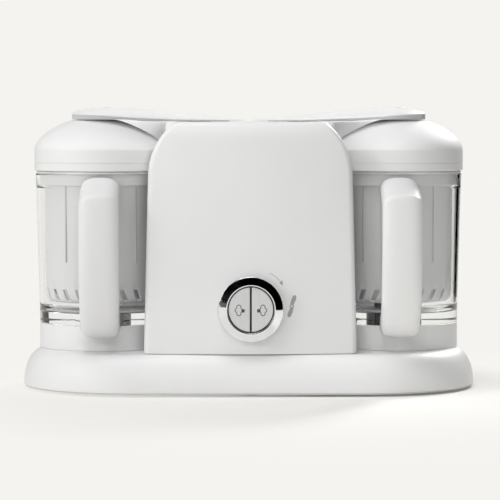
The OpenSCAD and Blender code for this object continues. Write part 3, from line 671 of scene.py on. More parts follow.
class FoodMakerStage(bpy.types.PropertyGroup):
    """Light and camera."""

    world_level: number("World level", "Strength of the even light", 0.12)
    left_power: watts("Left power", "Power of the left softbox", 33)
    front_power: watts("Front power", "Power of the softbox above the front", 23)
    top_power: watts("Top power", "Power of the softbox overhead", 22)
    spot_power: watts("Spot power", "Power of the spot on the right bowl", 200)
    back_power: watts("Back power", "Power of the light behind on the right", 50)
    floor_share: number("Floor share", "Darkening that evens the lit floor", 0.96)
    camera_distance: length("Camera distance", "How far the camera stands in front", 2.35)
    camera_height: length("Camera height", "Height of the camera", 0.25)
    camera_side: length("Camera side", "How far the camera stands to the left", 0.042)
    focal: number("Focal length", "Focal length in millimetres", 190.6)
    pitch: angle_of("Pitch", "How far the camera looks down", 3.147)
    yaw: angle_of("Yaw", "How far the camera looks to the right", 1.047)


# ---------------------------------------------------------- repeated details


def node_tree(name, inputs):
    """An empty geometry tree with named inputs: its graph, and the values those inputs give."""
    tree = bpy.data.node_groups.new(name, "GeometryNodeTree")
    tree.interface.new_socket("Geometry", in_out="INPUT", socket_type="NodeSocketGeometry")
    for title, default in inputs.items():
        socket = tree.interface.new_socket(title, in_out="INPUT", socket_type="NodeSocketFloat")
        socket.default_value = default
    tree.interface.new_socket("Geometry", in_out="OUTPUT", socket_type="NodeSocketGeometry")
    g = Graph(tree)
    entry = tree.nodes.new("NodeGroupInput")
    return g, {socket.name: Value(g, socket) for socket in entry.outputs if socket.name}


def cylinder(g, radius, depth, lift, sides=32, top=None):
    """A cylinder around its middle, or a cone that stands on its foot, moved up its own axis."""
    if top is None:
        made = g.add("GeometryNodeMeshCylinder", {"Vertices": sides, "Radius": radius, "Depth": depth})
    else:
        size = {"Vertices": sides, "Radius Top": top, "Radius Bottom": radius, "Depth": depth}
        made = g.add("GeometryNodeMeshCone", size)
    shift = g.add("ShaderNodeCombineXYZ", {2: lift})
    return g.add("GeometryNodeTransform", {"Geometry": made, "Translation": shift})


def joined(g, parts):
    """The union of several solids."""
    return g.add("GeometryNodeMeshBoolean", {1: parts}, operation="UNION", solver="EXACT")


def cut_by(g, body, tools):
    """A solid with others taken out of it."""
    inputs = {0: body, 1: tools}
    return g.add("GeometryNodeMeshBoolean", inputs, operation="DIFFERENCE", solver="EXACT")


def grown(name, places, g, item, points, look, inputs):
    """Ends a tree with an item on each of its points, runs it, and returns the plain mesh."""
    placed = g.add("GeometryNodeInstanceOnPoints", {"Points": points, "Instance": item})
    real = g.add("GeometryNodeRealizeInstances", {0: placed})
    dressed = g.add("GeometryNodeSetMaterial", {"Geometry": real, "Material": finish(look)})
    g.add("NodeGroupOutput", {0: dressed})
    mesh = bpy.data.meshes.new(name)
    mesh.from_pydata([(x * MM, y * MM, z * MM) for x, y, z in places], [], [])
    piece = linked(name, mesh)
    modifier = piece.modifiers.new("Repeat", "NODES")
    modifier.node_group = g.tree
    for socket in g.tree.interface.items_tree:
        if socket.item_type == "SOCKET" and socket.in_out == "INPUT" and socket.name in inputs:
            modifier[socket.identifier] = inputs[socket.name]
    return baked(piece)


BEAD_SIZE = {"Radius": 0.0509, "Bead": 0.0009, "Height": 0.0665}


def beads(name, centre):
    """Five upright beads around a basket's wall."""
    g, v = node_tree(name + "_tree", BEAD_SIZE)
    bead = cylinder(g, v["Bead"], v["Height"], 0.0, 10, v["Bead"] * 0.85)
    ring = g.add("GeometryNodeMeshCircle", {"Vertices": 5, "Radius": v["Radius"]})
    turn = g.add("ShaderNodeCombineXYZ", {2: math.radians(18)})
    ring = g.add("GeometryNodeTransform", {"Geometry": ring, "Rotation": turn})
    item = g.add("GeometryNodeInstanceOnPoints", {"Points": ring, "Instance": bead})
    # The beads take the grey that paints the dark lines of shade beside them.
    return shaded(grown(name, [centre], g, item, v["Geometry"], "liner", BEAD_SIZE), 60)


SCREW_SIZE = {"Head Radius": 0.0039, "Shank Radius": 0.002, "Reach": 0.0125}


def screws(name, places):
    """Countersunk cross-head screws, one on each place."""
    g, v = node_tree(name + "_tree", SCREW_SIZE)
    wide = v["Head Radius"]
    head = cylinder(g, wide * 0.9, wide * 0.12, wide * 0.06, 40, wide)
    seat = cylinder(g, wide, wide * 0.28, wide * 0.26, 40)
    shank = cylinder(g, v["Shank Radius"] * 0.98, v["Reach"], v["Reach"] * 0.5 + 0.0003, 24)
    recess = []
    for long, short in ((1.1, 0.26), (0.26, 1.1)):
        size = g.add("ShaderNodeCombineXYZ", {0: wide * long, 1: wide * short, 2: 0.002})
        recess.append(g.add("GeometryNodeMeshCube", {"Size": size}))
    item = cut_by(g, joined(g, [head, seat, shank]), recess)
    return shaded(grown(name, places, g, item, v["Geometry"], "zinc", SCREW_SIZE))


FOOT_SIZE = {"Radius": 0.009, "Height": 0.003}


def feet(name, places):
    """Round rubber feet with a chamfered tread and a dished middle, one on each place."""
    g, v = node_tree(name + "_tree", FOOT_SIZE)
    wide, tall = v["Radius"], v["Height"]
    tread = cylinder(g, wide * 0.93, tall * 0.25, tall * 0.125, 48, wide)
    pad = cylinder(g, wide, tall * 0.75, tall * 0.625, 48)
    dish = cylinder(g, wide * 0.62, tall * 0.3, 0.0, 48, wide * 0.5)
    item = cut_by(g, joined(g, [tread, pad]), [dish])
    return shaded(grown(name, places, g, item, v["Geometry"], "rubber", FOOT_SIZE))


# ---------------------------------------------------------------------- base


def stadium(radius, height):
    """Ring around the base's outline at a distance from its end centres."""
    arc, straight = 36, 20
    ring = []
    for sign in (1, -1):
        for step in range(arc + 1):
            x, y = polar(END_X, 0, radius, math.radians(-90 + 180 * step / arc))
            ring.append((sign * x, sign * y, height))
        for step in range(1, straight):
            ring.append((sign * END_X * (1 - 2 * step / straight), sign * radius, height))
    return ring


class FOODMAKER_OT_base(bpy.types.Operator):
    """Build the base's shell, a skirt that rounds into a flat top"""

    bl_idname = "foodmaker.base"
    bl_label = "Base Shell"

    def execute(self, context):
        s = context.scene.food_maker_sizes
        inward, wall = mm(s.skirt_round), mm(s.wall)
        radius, low, lip, ledge = BASE_RADIUS, 3.3, 96.9, 6.1
        start = low + 0.8
        outer = [stadium(radius - 0.6, low), stadium(radius - 0.2, low + 0.2), stadium(radius, start)]
        inner = [stadium(lip, low), stadium(lip, ledge), stadium(radius - wall, ledge)]
        for step in range(1, 15):
            angle = math.radians(90 * step / 14)
            rise = math.sin(angle)
            fall = inward * (1 - math.cos(angle))
            outer.append(stadium(radius - fall, start + (BASE_TOP - start) * rise))
            inner.append(stadium(radius - wall - fall, ledge + (BASE_TOP - wall - ledge) * rise))
        shape = Shape()
        shell, lining = shape.stack(outer), shape.stack(inner)
        shape.bridge(shell[0], lining[0])
        shape.face(shell[-1])
        shape.face(lining[-1])
        piece = shape.piece("base_shell", [finish("shell")], smooth=50)
        dress(piece, "housing", ["base_cover"])
        return {"FINISHED"}


# -------------------------------------------------------------------- column


EDGE_TIP = 2.0  # Rounding between a side of the column and its pocket, in millimetres.


def pocket_edge(half, pocket, sign):
    """Where a side meets its pocket: the centre of the rounding and the angle to the arcs' touch."""
    reach = BOWL_X - half + EDGE_TIP
    x, y = BOWL_X - reach, BOWL_Y + sign * math.sqrt((pocket + EDGE_TIP) ** 2 - reach**2)
    part = pocket / (pocket + EDGE_TIP)
    touch = (BOWL_X - reach * part, BOWL_Y + (y - BOWL_Y) * part)
    around = math.atan2(touch[1] - BOWL_Y, touch[0] - BOWL_X) % math.tau
    return (x, y, EDGE_TIP), math.atan2(touch[1] - y, touch[0] - x), around


def column_outline(s, width, front_in, side_in):
    """Right half of the column's plan, from the middle of the front to the middle of the rear."""
    curve = mm(s.front_radius) - front_in
    middle = mm(s.front_radius) + FRONT_Y
    half = width - side_in
    corner = mm(s.corner_radius)
    pocket = POCKET_RADIUS + side_in
    corner_x = half - corner
    corner_y = middle - math.sqrt((curve - corner) ** 2 - corner_x**2)
    lean = math.asin(corner_x / (curve - corner))
    turn = [lean * step / 12 for step in range(13)]
    front = [(curve * math.sin(a), middle - curve * math.cos(a)) for a in turn]
    for step in range(1, 7):
        angle = -0.5 * math.pi + lean + (0.5 * math.pi - lean) * step / 6
        front.append(polar(corner_x, corner_y, corner, angle))
    rear_half = min(half, 74 - side_in)
    if BOWL_X - half < pocket - 0.01:
        centre, start, first = pocket_edge(half, pocket, -1)
        wing = [polar(*centre, start * k / 4) for k in range(5)]
        centre, start, last = pocket_edge(rear_half, pocket, 1)
        spur = [polar(*centre, start * (1 - k / 4)) for k in range(5)]
        turn = [first + (last - first) * k / 20 for k in range(1, 20)]
        hollow = [polar(BOWL_X, BOWL_Y, pocket, a) for a in turn]
    else:
        wing = [(half, BOWL_Y - 0.4 + 0.1 * k) for k in range(5)]
        hollow = [(half, BOWL_Y)] * 19
        spur = [(rear_half, BOWL_Y + 0.1 * k) for k in range(5)]
    inner_x, inner_y = rear_half - corner, REAR_Y - corner
    side_line = [(half, corner_y + (wing[0][1] - corner_y) * k / 5) for k in range(1, 5)]
    rear_line = [(rear_half, spur[-1][1] + (inner_y - spur[-1][1]) * k / 5) for k in range(1, 5)]
    rear_corner = [polar(inner_x, inner_y, corner, 0.5 * math.pi * k / 6) for k in range(7)]
    back = [(x, REAR_Y) for x in (45, LOUVRE_HALF, 15, 0)]
    return front + side_line + wing + hollow + spur + rear_line + rear_corner + back


def column_levels(s):
    """Height, half width, inset of the front and inset of the sides of each level."""
    low, high = mm(s.column_half_low), mm(s.column_half_high)
    radius, brow, edge = mm(s.shoulder_radius), mm(s.brow_height), 2.4
    foot = BASE_TOP + 0.9
    spring = COLUMN_TOP - radius * math.sin(math.radians(52))
    steps = [LOUVRE_PITCH * i + d for i in range(LOUVRES) for d in (0, LOUVRE_GAP)]
    levels = [LOUVRE_LOW + step for step in steps]
    levels = sorted([BASE_TOP + 0.3, foot, 45, 55, 125, 140, 155, 170, spring] + levels)
    turn = [math.radians(90 * k / 22) for k in range(1, 23)]
    levels += [spring + (COLUMN_TOP - spring) * math.sin(a) for a in turn]
    rows = []
    for level in levels:
        if level <= spring:
            half = low + (high - low) * (level - BASE_TOP) / (spring - BASE_TOP)
        else:
            half = high - radius + math.sqrt(radius**2 - (level - spring) ** 2)
        over = max(0.0, (level - (COLUMN_TOP - brow)) / brow)
        front_in = 6.5 * (1 - math.sqrt(max(0.0, 1 - over**2)))
        near = max(0.0, (level - (COLUMN_TOP - edge)) / edge)
        side_in = edge * (1 - math.sqrt(max(0.0, 1 - near**2)))
        if level < foot:
            front_in = side_in = 0.6
        rows.append((level, half, front_in, side_in))
    return rows


class FOODMAKER_OT_column(bpy.types.Operator):
    """Build the column's front panel, shell and rear cover, with the hollows beside the bowls"""

    bl_idname = "foodmaker.column"
    bl_label = "Column"

    def execute(self, context):
        s = context.scene.food_maker_sizes
        spans = (
            ("front_panel", -200, -58.12, "panel"),
            ("column_shell", -57.88, 51.88, "shell"),
            ("rear_cover", 52.12, 200, "shell"),
        )
        for name, start, end, look in spans:
            shape = Shape()
            rings = []
            for level, *insets in column_levels(s):
                right = column_outline(s, *insets)
                left = [(-x, y) for x, y in right[-2:0:-1]]
                rings.append([(x, y, level) for x, y in right + left])
            top = shape.stack(rings)[-1]
            count = len(top)
            rear_start = count // 2 - 10
            for i in range(rear_start):
                shape.face((top[i], top[i + 1], top[-i - 1], top[-i]))
            shape.face(top[rear_start : count - rear_start + 1])
            piece = shape.piece(name + "_skin", [finish(look)], smooth=40, outward=False)
            work = bmesh.new()
            work.from_mesh(piece.data)
            for level, sign in ((start, -1), (end, 1)):
                everything = work.verts[:] + work.edges[:] + work.faces[:]
                plane = {"plane_co": (0, level * MM, 0), "plane_no": (0, sign, 0)}
                bmesh.ops.bisect_plane(work, geom=everything, clear_outer=True, **plane)
            if name == "rear_cover":
                louvres = [f for f in work.faces if self.in_slot(f.calc_center_median())]
                bmesh.ops.delete(work, geom=louvres, context="FACES")
            work.to_mesh(piece.data)
            work.free()
            thickened(piece, s.wall, even=False)
            if name == "front_panel":
                baked(piece)
                hole = [(0, -30), (DIAL_HOLE, -30), (DIAL_HOLE, 30), (0, 30)]
                tool = Shape()
                tool.lathe(hole, facing(0, DIAL_Z, FRONT_Y), loop=False)
                carved(piece, tool.piece("dial_hole_tool", []))
            dress(piece, "housing", [name])
        return {"FINISHED"}

    def in_slot(self, centre):
        """Whether a face of the rear lies in a louvre's gap."""
        x, y, z = (c / MM for c in centre)
        rise = z - LOUVRE_LOW
        if y < REAR_Y - 0.1 or abs(x) > LOUVRE_HALF or not 0 < rise < LOUVRES * LOUVRE_PITCH:
            return False
        return rise % LOUVRE_PITCH < LOUVRE_GAP


# -------------------------------------------------------------------- towers


def tower_plan():
    """Plan of a steam tower: a block with the bowl's hollow taken out of it."""
    front = 44
    first = math.acos((TOWER_INNER + 3.6 - BOWL_X) / POCKET_RADIUS)
    last = math.acos((TOWER_OUTER - BOWL_X) / POCKET_RADIUS)
    arc = [first + (last - first) * k / 14 for k in range(15)]
    hollow = [(*polar(BOWL_X, BOWL_Y, POCKET_RADIUS, a), 0) for a in arc]
    hollow[0] = (*hollow[0][:2], 1.2)
    hollow[-1] = (*hollow[-1][:2], 1.5)
    block = [(TOWER_OUTER, REAR_Y, 4), (TOWER_INNER, REAR_Y, 3), (TOWER_INNER, front, 1.2)]
    return rounded(hollow + block)


class FOODMAKER_OT_towers(bpy.types.Operator):
    """Build the hollow steam towers behind the bowls, with their nozzles"""

    bl_idname = "foodmaker.towers"
    bl_label = "Steam Towers"

    def execute(self, context):
        plan = tower_plan()
        aim = math.radians(107)
        out_x, out_y = polar(0, 0, 1, aim)
        spout = rounded([(2.5, 0, 0.4), (5.5, 0, 0.8), (5.5, 5.5, 0), (2.5, 5.5, 0)])

        def along(x, y, z):
            centre = polar(BOWL_X, BOWL_Y, 61.8 + z, aim)
            return (centre[0] - x * out_y, centre[1] + x * out_x, 200.5 + y)

        for name, side in SIDES:
            shape = Shape()
            shape.prism(plan, lambda x, y, z: (x, y, z), BASE_TOP + 0.2, TOWER_TOP, 0.5, 0.9)
            shape.lathe(spout, along, count=32)
            piece = shape.piece(name + "_tower", [finish("shell")], side)
            dress(piece, "housing", [name + "_steam_tower"])
        return {"FINISHED"}


# --------------------------------------------------------------------- bowls


def bowl_radius(s, height):
    """A bowl's outer radius at a height."""
    low, high = mm(s.bowl_radius_low), mm(s.bowl_radius_high)
    return low + (high - low) * (height - BOWL_LOW) / (BOWL_TOP - BOWL_LOW)


class FOODMAKER_OT_bowls(bpy.types.Operator):
    """Build the clear bowls with their seats, collars, plug and blade hub"""

    bl_idname = "foodmaker.bowls"
    bl_label = "Bowls"

    def execute(self, context):
        s = context.scene.food_maker_sizes
        low, high, wall = mm(s.bowl_radius_low), mm(s.bowl_radius_high), mm(s.bowl_wall)
        ledge, floor_top, well = BASKET_TOP - 4, 67, 18.05
        ledge_in = bowl_radius(s, ledge) - wall
        axis = upright(BOWL_X, BOWL_Y)
        glass = [(well, BOWL_LOW + 0.02, 0), (low - 0.1, BOWL_LOW + 0.02, 1.5), (high, BOWL_TOP, 1.1)]
        glass += [(high - wall, BOWL_TOP, 0.8), (ledge_in, ledge, 0), (ledge_in - 0.9, ledge - 2.4, 0.6)]
        glass += [(bowl_radius(s, floor_top) - wall, floor_top, 8), (well, floor_top, 0)]
        collar = [(50.1, BASE_TOP + 0.05, 0.3), (low + 0.1, BASE_TOP + 0.05, 0.7)]
        collar += [(low + 0.1, BOWL_LOW - 0.02, 0.5), (25, BOWL_LOW - 0.02, 0), (25, 51, 0), (50.1, 51, 0)]
        seat = [(44, BASE_TOP, 0), (50, BASE_TOP, 0), (50, 41.5, 1.2), (44, 41.5, 1.2)]
        for name, side in SIDES:
            body = name + "_bowl_set"
            piece = turned(name + "_bowl_glass", "clear", rounded(glass), axis, side, count=128)
            dress(piece, body, [name + "_bowl"])
            piece = turned(name + "_collar_ring", "shell", rounded(collar), axis, side, count=128)
            dress(piece, body, [name + "_collar"])
            piece = turned(name + "_seat_ring", "shell", rounded(seat), axis, side)
            dress(piece, "housing", [name + "_bowl_seat"])
        cap = [(24, 53, 0.6), (24, BOWL_LOW, 0), (18, BOWL_LOW, 0)]
        hub = [(4.1, 53, 0), *cap, (18, 74.5, 1.6), (9, 74.5, 0), (8.2, 73.4, 0), (4.1, 73.4, 0)]
        piece = turned("blade_hub", "hub", rounded(hub), axis)
        dress(piece, "right_bowl_set", ["blade_bearing"])
        plug = [(0, 53, 0), *cap, (18, 70, 2), (10, 70, 0), (8.6, 69, 0), (0, 69, 0)]
        piece = turned("floor_plug_cap", "pale", rounded(plug), axis, -1, loop=False)
        dress(piece, "left_bowl_set", ["left_floor_plug"])
        return {"FINISHED"}


# ------------------------------------------------------------------- baskets


class FOODMAKER_OT_baskets(bpy.types.Operator):
    """Build the frosted steaming baskets with drain slots, a well for the blade and a flange"""

    bl_idname = "foodmaker.baskets"
    bl_label = "Baskets"

    def execute(self, context):
        s = context.scene.food_maker_sizes
        ledge = BASKET_TOP - 4
        flange = bowl_radius(s, ledge) - mm(s.bowl_wall) - 0.45
        corners = [(0, 107.8, 0), (31, 107.8, 4), (33, BASKET_LOW, 3), (50.2, BASKET_LOW, 7.5)]
        corners += [(50.4, SLOTS_TOP, 0), (50.6, 96, 0), (51.2, ledge, 0.8)]
        corners += [(flange, ledge, 0.8), (flange + 0.1, 188.3, 0)]
        profile = rounded(corners, steps=6, closed=False)
        per_slot, open_part, outside = 8, 3, 40
        count = s.slot_count * per_slot
        for name, side in SIDES:
            shape = Shape()
            for radius, height in profile:
                climb = min(max((height - BASKET_LOW) / (SLOTS_TOP - BASKET_LOW), 0), 1)
                turn = whole_turn(count, math.radians(6) * climb if radius > outside else 0)
                shape.ring([(*polar(BOWL_X, BOWL_Y, radius, a), height) for a in turn])
            for row in range(len(profile) - 1):
                low, high = profile[row], profile[row + 1]
                slotted = low[0] > outside and BASKET_LOW + 0.9 < low[1] and high[1] < SLOTS_TOP + 0.1
                for k in range(count):
                    if slotted and k % per_slot < open_part:
                        continue
                    ahead = (k + 1) % count
                    first, second = row * count, (row + 1) * count
                    shape.face((first + k, first + ahead, second + ahead, second + k))
            piece = shape.piece(name + "_basket_cup", [finish("frosted")], side, outward=False, wall=1.8)
            dress(piece, name + "_bowl_set", [name + "_basket"])
            ribs = beads(name + "_basket_beads", (side * BOWL_X, BOWL_Y, BEAD_LOW))
            dress(ribs, name + "_bowl_set", [], even=False)
        return {"FINISHED"}


# ------------------------------------------------------------------- handles


# Station, outer line (reach, height), inner line (reach, height), half width, fullness of the section.
HANDLE_STATIONS = (
    (0, 50, 186.9, 50, 163.2, 17.0, 2.5),
    (1, 58, 186.7, 58, 163.0, 17.0, 2.5),
    (2, 67, 185.4, 66, 162.2, 17.1, 2.5),
    (3, 80, 180.9, 74, 160.0, 17.2, 2.6),
    (4, 93, 176.1, 80.6, 156.4, 17.3, 2.6),
    (5, 101.2, 173.2, 84.6, 152.2, 17.4, 2.7),
    (6, 103.3, 171.2, 86.6, 147.0, 17.4, 2.7),
    (7, 103.9, 166.0, 87.6, 141.0, 17.4, 2.7),
    (8, 104.0, 150.0, 88.0, 135.0, 17.4, 2.7),
    (9, 104.0, 135.0, 88.0, 127.0, 17.4, 2.7),
    (10, 102.8, 118.0, 87.0, 113.0, 17.4, 2.7),
    (11, 100.4, 102.0, 85.0, 101.0, 17.4, 2.7),
    (12, 96.8, 88.5, 82.4, 91.6, 17.4, 2.8),
    (13, 91.8, 75.5, 78.8, 84.0, 17.3, 3.0),
    (14, 85.6, 64.0, 74.4, 78.4, 17.2, 3.2),
    (15, 79.0, 54.6, 69.6, 74.6, 17.0, 3.4),
    (16, 71.5, 49.0, 65.0, 72.6, 16.9, 3.6),
    (17, 62.0, 47.8, 60.0, 72.0, 16.7, 3.6),
    (18, 50.0, 47.6, 50.0, 72.0, 16.6, 3.6),
)


class FOODMAKER_OT_handles(bpy.types.Operator):
    """Build the bowls' handles as loops whose section runs from the rim to the collar"""

    bl_idname = "foodmaker.handles"
    bl_label = "Handles"

    def execute(self, context):
        s = context.scene.food_maker_sizes
        steps, around = 108, 44
        last = HANDLE_STATIONS[-1][0]
        wide = 0.5 * mm(s.handle_width) / max(row[5] for row in HANDLE_STATIONS)
        for name, side in SIDES:
            shape = Shape()
            rings = []
            for step in range(steps + 1):
                *lines, half_width, fullness = between(HANDLE_STATIONS, last * step / steps)
                outer, inner = Vector(lines[:2]), Vector(lines[2:])
                middle = 0.5 * (outer + inner)
                half = 0.5 * (outer - inner)
                power = 2 / fullness
                ring = []
                for angle in whole_turn(around):
                    c, d = polar(0, 0, 1, angle)
                    across = math.copysign(abs(c) ** power, c) * half_width * wide
                    spot = middle + half * math.copysign(abs(d) ** power, d)
                    ring.append(self.clear(s, across, spot.x, spot.y))
                rings.append(ring)
            made = shape.stack(rings)
            for end in (0, -1):
                middle = sum((Vector(point) for point in rings[end]), Vector()) / around
                centre = self.clear(s, middle[0] - BOWL_X, BOWL_Y - middle[1], middle[2])
                shape.fan(made[end], centre, flip=end == 0)
            piece = shape.piece(name + "_grip", [finish("panel")], side, smooth=60)
            dress(piece, name + "_bowl_set", [name + "_handle"])
        return {"FINISHED"}

    def clear(self, s, across, reach, height):
        """A point kept just outside the bowl and its collar."""
        limit = bowl_radius(s, max(height, BOWL_LOW)) + (0.16 if height < BOWL_LOW else 0.06)
        distance = math.hypot(across, reach)
        if distance < limit:
            reach = math.sqrt(max(limit**2 - across**2, 0))
        return (BOWL_X + across, BOWL_Y - reach, height)


# ---------------------------------------------------------------------- lids


class FOODMAKER_OT_lids(bpy.types.Operator):
    """Build the domed lids, whose crowns lie outboard, and their seals"""

    bl_idname = "foodmaker.lids"
    bl_label = "Lids"

    def execute(self, context):
        s = context.scene.food_maker_sizes
        radius, crown, offset = mm(s.lid_radius), mm(s.crown_radius), mm(s.crown_offset)
        spring = LID_LOW + 18.5
        rise = LID_TOP - spring
        rim = [(2.6, LID_LOW), (1.1, LID_LOW + 0.12), (0.3, LID_LOW + 0.55), (0, LID_LOW + 1.3)]
        rim += [(0, 198.4), (0.12, 198.52), (0.55, 198.6), (0.55, 199.0), (0.12, 199.08), (0, 199.2)]
        rim += [(0, 202.5), (0, spring)]
        seal = [(54.4, 189.05, 0.4), (58.6, 189.05, 0.9), (58.6, 191.45, 0.9), (54.4, 191.45, 0.4)]
        for name, side in SIDES:
            shape = Shape()
            rings = [self.ring(radius - inset, z, 0) for inset, z in rim]
            for step in range(1, 41):
                angle = math.radians(90 * step / 40)
                part = math.sin(angle) ** 1.45
                size = crown + (radius - crown) * max(math.cos(angle), 0) ** 1.45
                lean = 1 - max(1 - part**1.25, 0) ** 2.2
                rings.append(self.ring(size, spring + rise * part, offset * lean))
            rings += [self.ring(crown * k, LID_TOP, offset) for k in (0.75, 0.5, 0.25)]
            made = shape.stack(rings)
            shape.fan(made[-1], (BOWL_X + offset, BOWL_Y, LID_TOP))
            piece = shape.piece(name + "_lid_dome", [finish("lid")], side, 30, outward=False, wall=2.5)
            dress(piece, name + "_lid_set", [name + "_lid"])
            axis = upright(BOWL_X, BOWL_Y)
            piece = turned(name + "_lid_gasket", "pale", rounded(seal), axis, side, count=128)
            dress(piece, name + "_lid_set", [name + "_lid_seal"])
        return {"FINISHED"}

    def ring(self, radius, height, offset):
        """A circle of the dome, its middle moved outboard."""
        return [(*polar(BOWL_X + offset, BOWL_Y, radius, a), height) for a in whole_turn(120)]


# ---------------------------------------------------------------------- arms


# Distance from the middle, ridge height, height of the side's crease, height of the underside.
ARM_LINES = (
    (4.5, 236.5, 236.2, ARM_TIP_LOW),
    (10, 237.0, 236.3, ARM_TIP_LOW),
    (16.5, 237.8, 236.4, ARM_TIP_LOW),
    (17.5, 237.9, 236.45, 235.1),
    (30, 239.1, 236.6, 235.1),
    (45, 240.6, 236.8, 235.1),
    (71.7, 243.3, 237.5, 235.1),
    (89.5, 245.3, 238.2, 235.15),
    (107.3, 246.5, 239.1, 236.6),
    (118.8, 247.1, 239.9, ARM_LOW),
    (129, 247.3, 240.7, ARM_LOW),
    (138, 247.0, 241.2, ARM_LOW),
    (145, 246.2, 241.5, ARM_LOW),
    (151.5, 244.6, 241.7, ARM_LOW),
    (155.2, 243.3, 241.8, ARM_LOW),
    (157, 242.2, 241.85, ARM_LOW),
)


HALF_STEPS = 14


def arm_half_width(x):
    """Half width of an arm: a round tip and a round head joined by straight sides."""
    lean = math.asin((ARM_HEAD - ARM_TIP) / (ARM_HEAD_X - ARM_TIP_X))
    tip_end = ARM_TIP_X - ARM_TIP * math.sin(lean)
    head_start = ARM_HEAD_X - ARM_HEAD * math.sin(lean)
    if x <= tip_end:
        return math.sqrt(max(ARM_TIP**2 - (x - ARM_TIP_X) ** 2, 0))
    if x >= head_start:
        return math.sqrt(max(ARM_HEAD**2 - (x - ARM_HEAD_X) ** 2, 0))
    part = (x - tip_end) / (head_start - tip_end)
    low, high = ARM_TIP * math.cos(lean), ARM_HEAD * math.cos(lean)
    return low + (high - low) * part + 2.1 * math.sin(math.pi * part) ** 2 * (1 - part)


class FOODMAKER_OT_arms(bpy.types.Operator):
    """Build the swinging arms over the lids, their stoppers and seals"""

    bl_idname = "foodmaker.arms"
    bl_label = "Arms"

    def execute(self, context):
        turn = [math.radians(90 * k / 9) for k in range(10)]
        stations = [ARM_TIP_X - ARM_TIP * math.cos(a) for a in turn]
        stations += [12.5, 14, 16.5, 16.9, 17.3, 18] + [20 + 6 * k for k in range(17)] + [120, 124, 128]
        turn = [math.radians(90 * k / 18) for k in range(1, 19)]
        stations += [ARM_HEAD_X + ARM_HEAD * math.sin(a) for a in turn]
        rings = [self.section(x) for x in stations]
        top = 2 * HALF_STEPS + 1
        # Slot 1, the drawn-in lower sides and the underside, takes the grey that paints their shade.
        slots = [0] * top + [0] + [1] * 8 + [0] * 2
        pad = [(0, 246.0, 0), (10.5, 246.0, 0), (10.2, 247.55, 0.8), (0, 247.68, 0)]
        post = [(0, 218.8, 0), (12, 218.8, 1.5), (12, 223.8, 0.2), (10, 223.8, 0), (10, 226.8, 0)]
        post += [(12, 226.8, 0.2), (12, 234.5, 0.4), (10, 234.5, 0), (10, 236.2, 0), (0, 236.2, 0)]
        band = [(10.05, 223.85, 0), (11.95, 223.85, 0.8), (11.95, 226.75, 0.8), (10.05, 226.75, 0)]
        axis = upright(STOPPER_X, BOWL_Y)
        for name, side in SIDES:
            body = name + "_arm_set"
            shape = Shape()
            made = shape.stack(rings, slot=slots)
            shape.face(made[0])
            shape.face(made[-1][::-1], 1)
            shape.lathe(rounded(pad, closed=False), upright(PAD_X, BOWL_Y), loop=False, count=64)
            piece = shape.piece(name + "_arm_shell", [finish("shell"), finish("liner")], side, smooth=32)
            dress(piece, body, [name + "_arm"])
            outline = rounded(post, closed=False)
            piece = turned(name + "_stopper_post", "grey", outline, axis, side, loop=False, count=72)
            dress(piece, body, [name + "_stopper"])
            piece = turned(name + "_stopper_band", "red", rounded(band), axis, side, count=72)
            dress(piece, body, [name + "_stopper_seal"])
        return {"FINISHED"}

    def section(self, x):
        """Closed section of an arm: a crowned top, a drawn-in edge and a flat underside."""
        ridge, crease, under = between(ARM_LINES, x)
        half = max(arm_half_width(x), 0.02)
        under = min(ARM_TIP_LOW if x < ARM_TIP_END else under, crease - 0.1)
        ring = []
        for k in range(-HALF_STEPS, HALF_STEPS + 1):
            t = math.sin(0.5 * math.pi * k / HALF_STEPS)
            ring.append((x, BOWL_Y + half * t, crease + (ridge - crease) * (1 - abs(t) ** 2.3) ** 0.8))
        edge = min(0.4, 0.3 * half, 0.2 * (crease - under))
        inner = half - min(2.6, 0.6 * half, 0.62 * (crease - under))
        lip = inner + (half - inner) * 0.93
        side_line = [(half, crease - edge), (lip, crease - 1.6 * edge), (inner, under)]
        ring += [(x, BOWL_Y + y, z) for y, z in side_line]
        ring += [(x, BOWL_Y + inner * k / 3, under) for k in (2, 1, 0, -1, -2)]
        return ring + [(x, BOWL_Y - y, z) for y, z in side_line[::-1]]


# ---------------------------------------------------------------------- dial


PRINT = 0.08  # How far a printed mark stands up, in millimetres.


def stroke(shape, line, width, place, closed=False):
    """A flat line of a given width, raised a little, for a printed or engraved mark."""
    count = len(line)
    left, right = [], []
    for index, (x, y) in enumerate(line):
        before = line[index - 1] if index or closed else line[index]
        after = line[(index + 1) % count] if index < count - 1 or closed else line[index]
        along = (Vector(after) - Vector(before)).normalized() * width / 2
        left.append((x - along.y, y + along.x))
        right.append((x + along.y, y - along.x))
    levels = ((left, 0.0), (left, PRINT), (right, PRINT), (right, 0.0))
    rows = [shape.ring([place(x, y, level) for x, y in row]) for row, level in levels]
    for low, high in zip(rows, rows[1:]):
        shape.bridge(low, high, closed=closed)
    if not closed:
        for end in (0, -1):
            shape.face([row[end] for row in rows])


def patch(shape, outline, place):
    """A filled printed mark, raised a little."""
    low, high = shape.stack([[place(x, y, level) for x, y in outline] for level in (0.0, PRINT)])
    shape.face(high)
    shape.face(low[::-1])


def arc_line(x, y, radius, start, end, steps=10):
    """Points along an arc between two angles in degrees."""
    turn = [math.radians(start + (end - start) * k / steps) for k in range(steps + 1)]
    return [polar(x, y, radius, a) for a in turn]


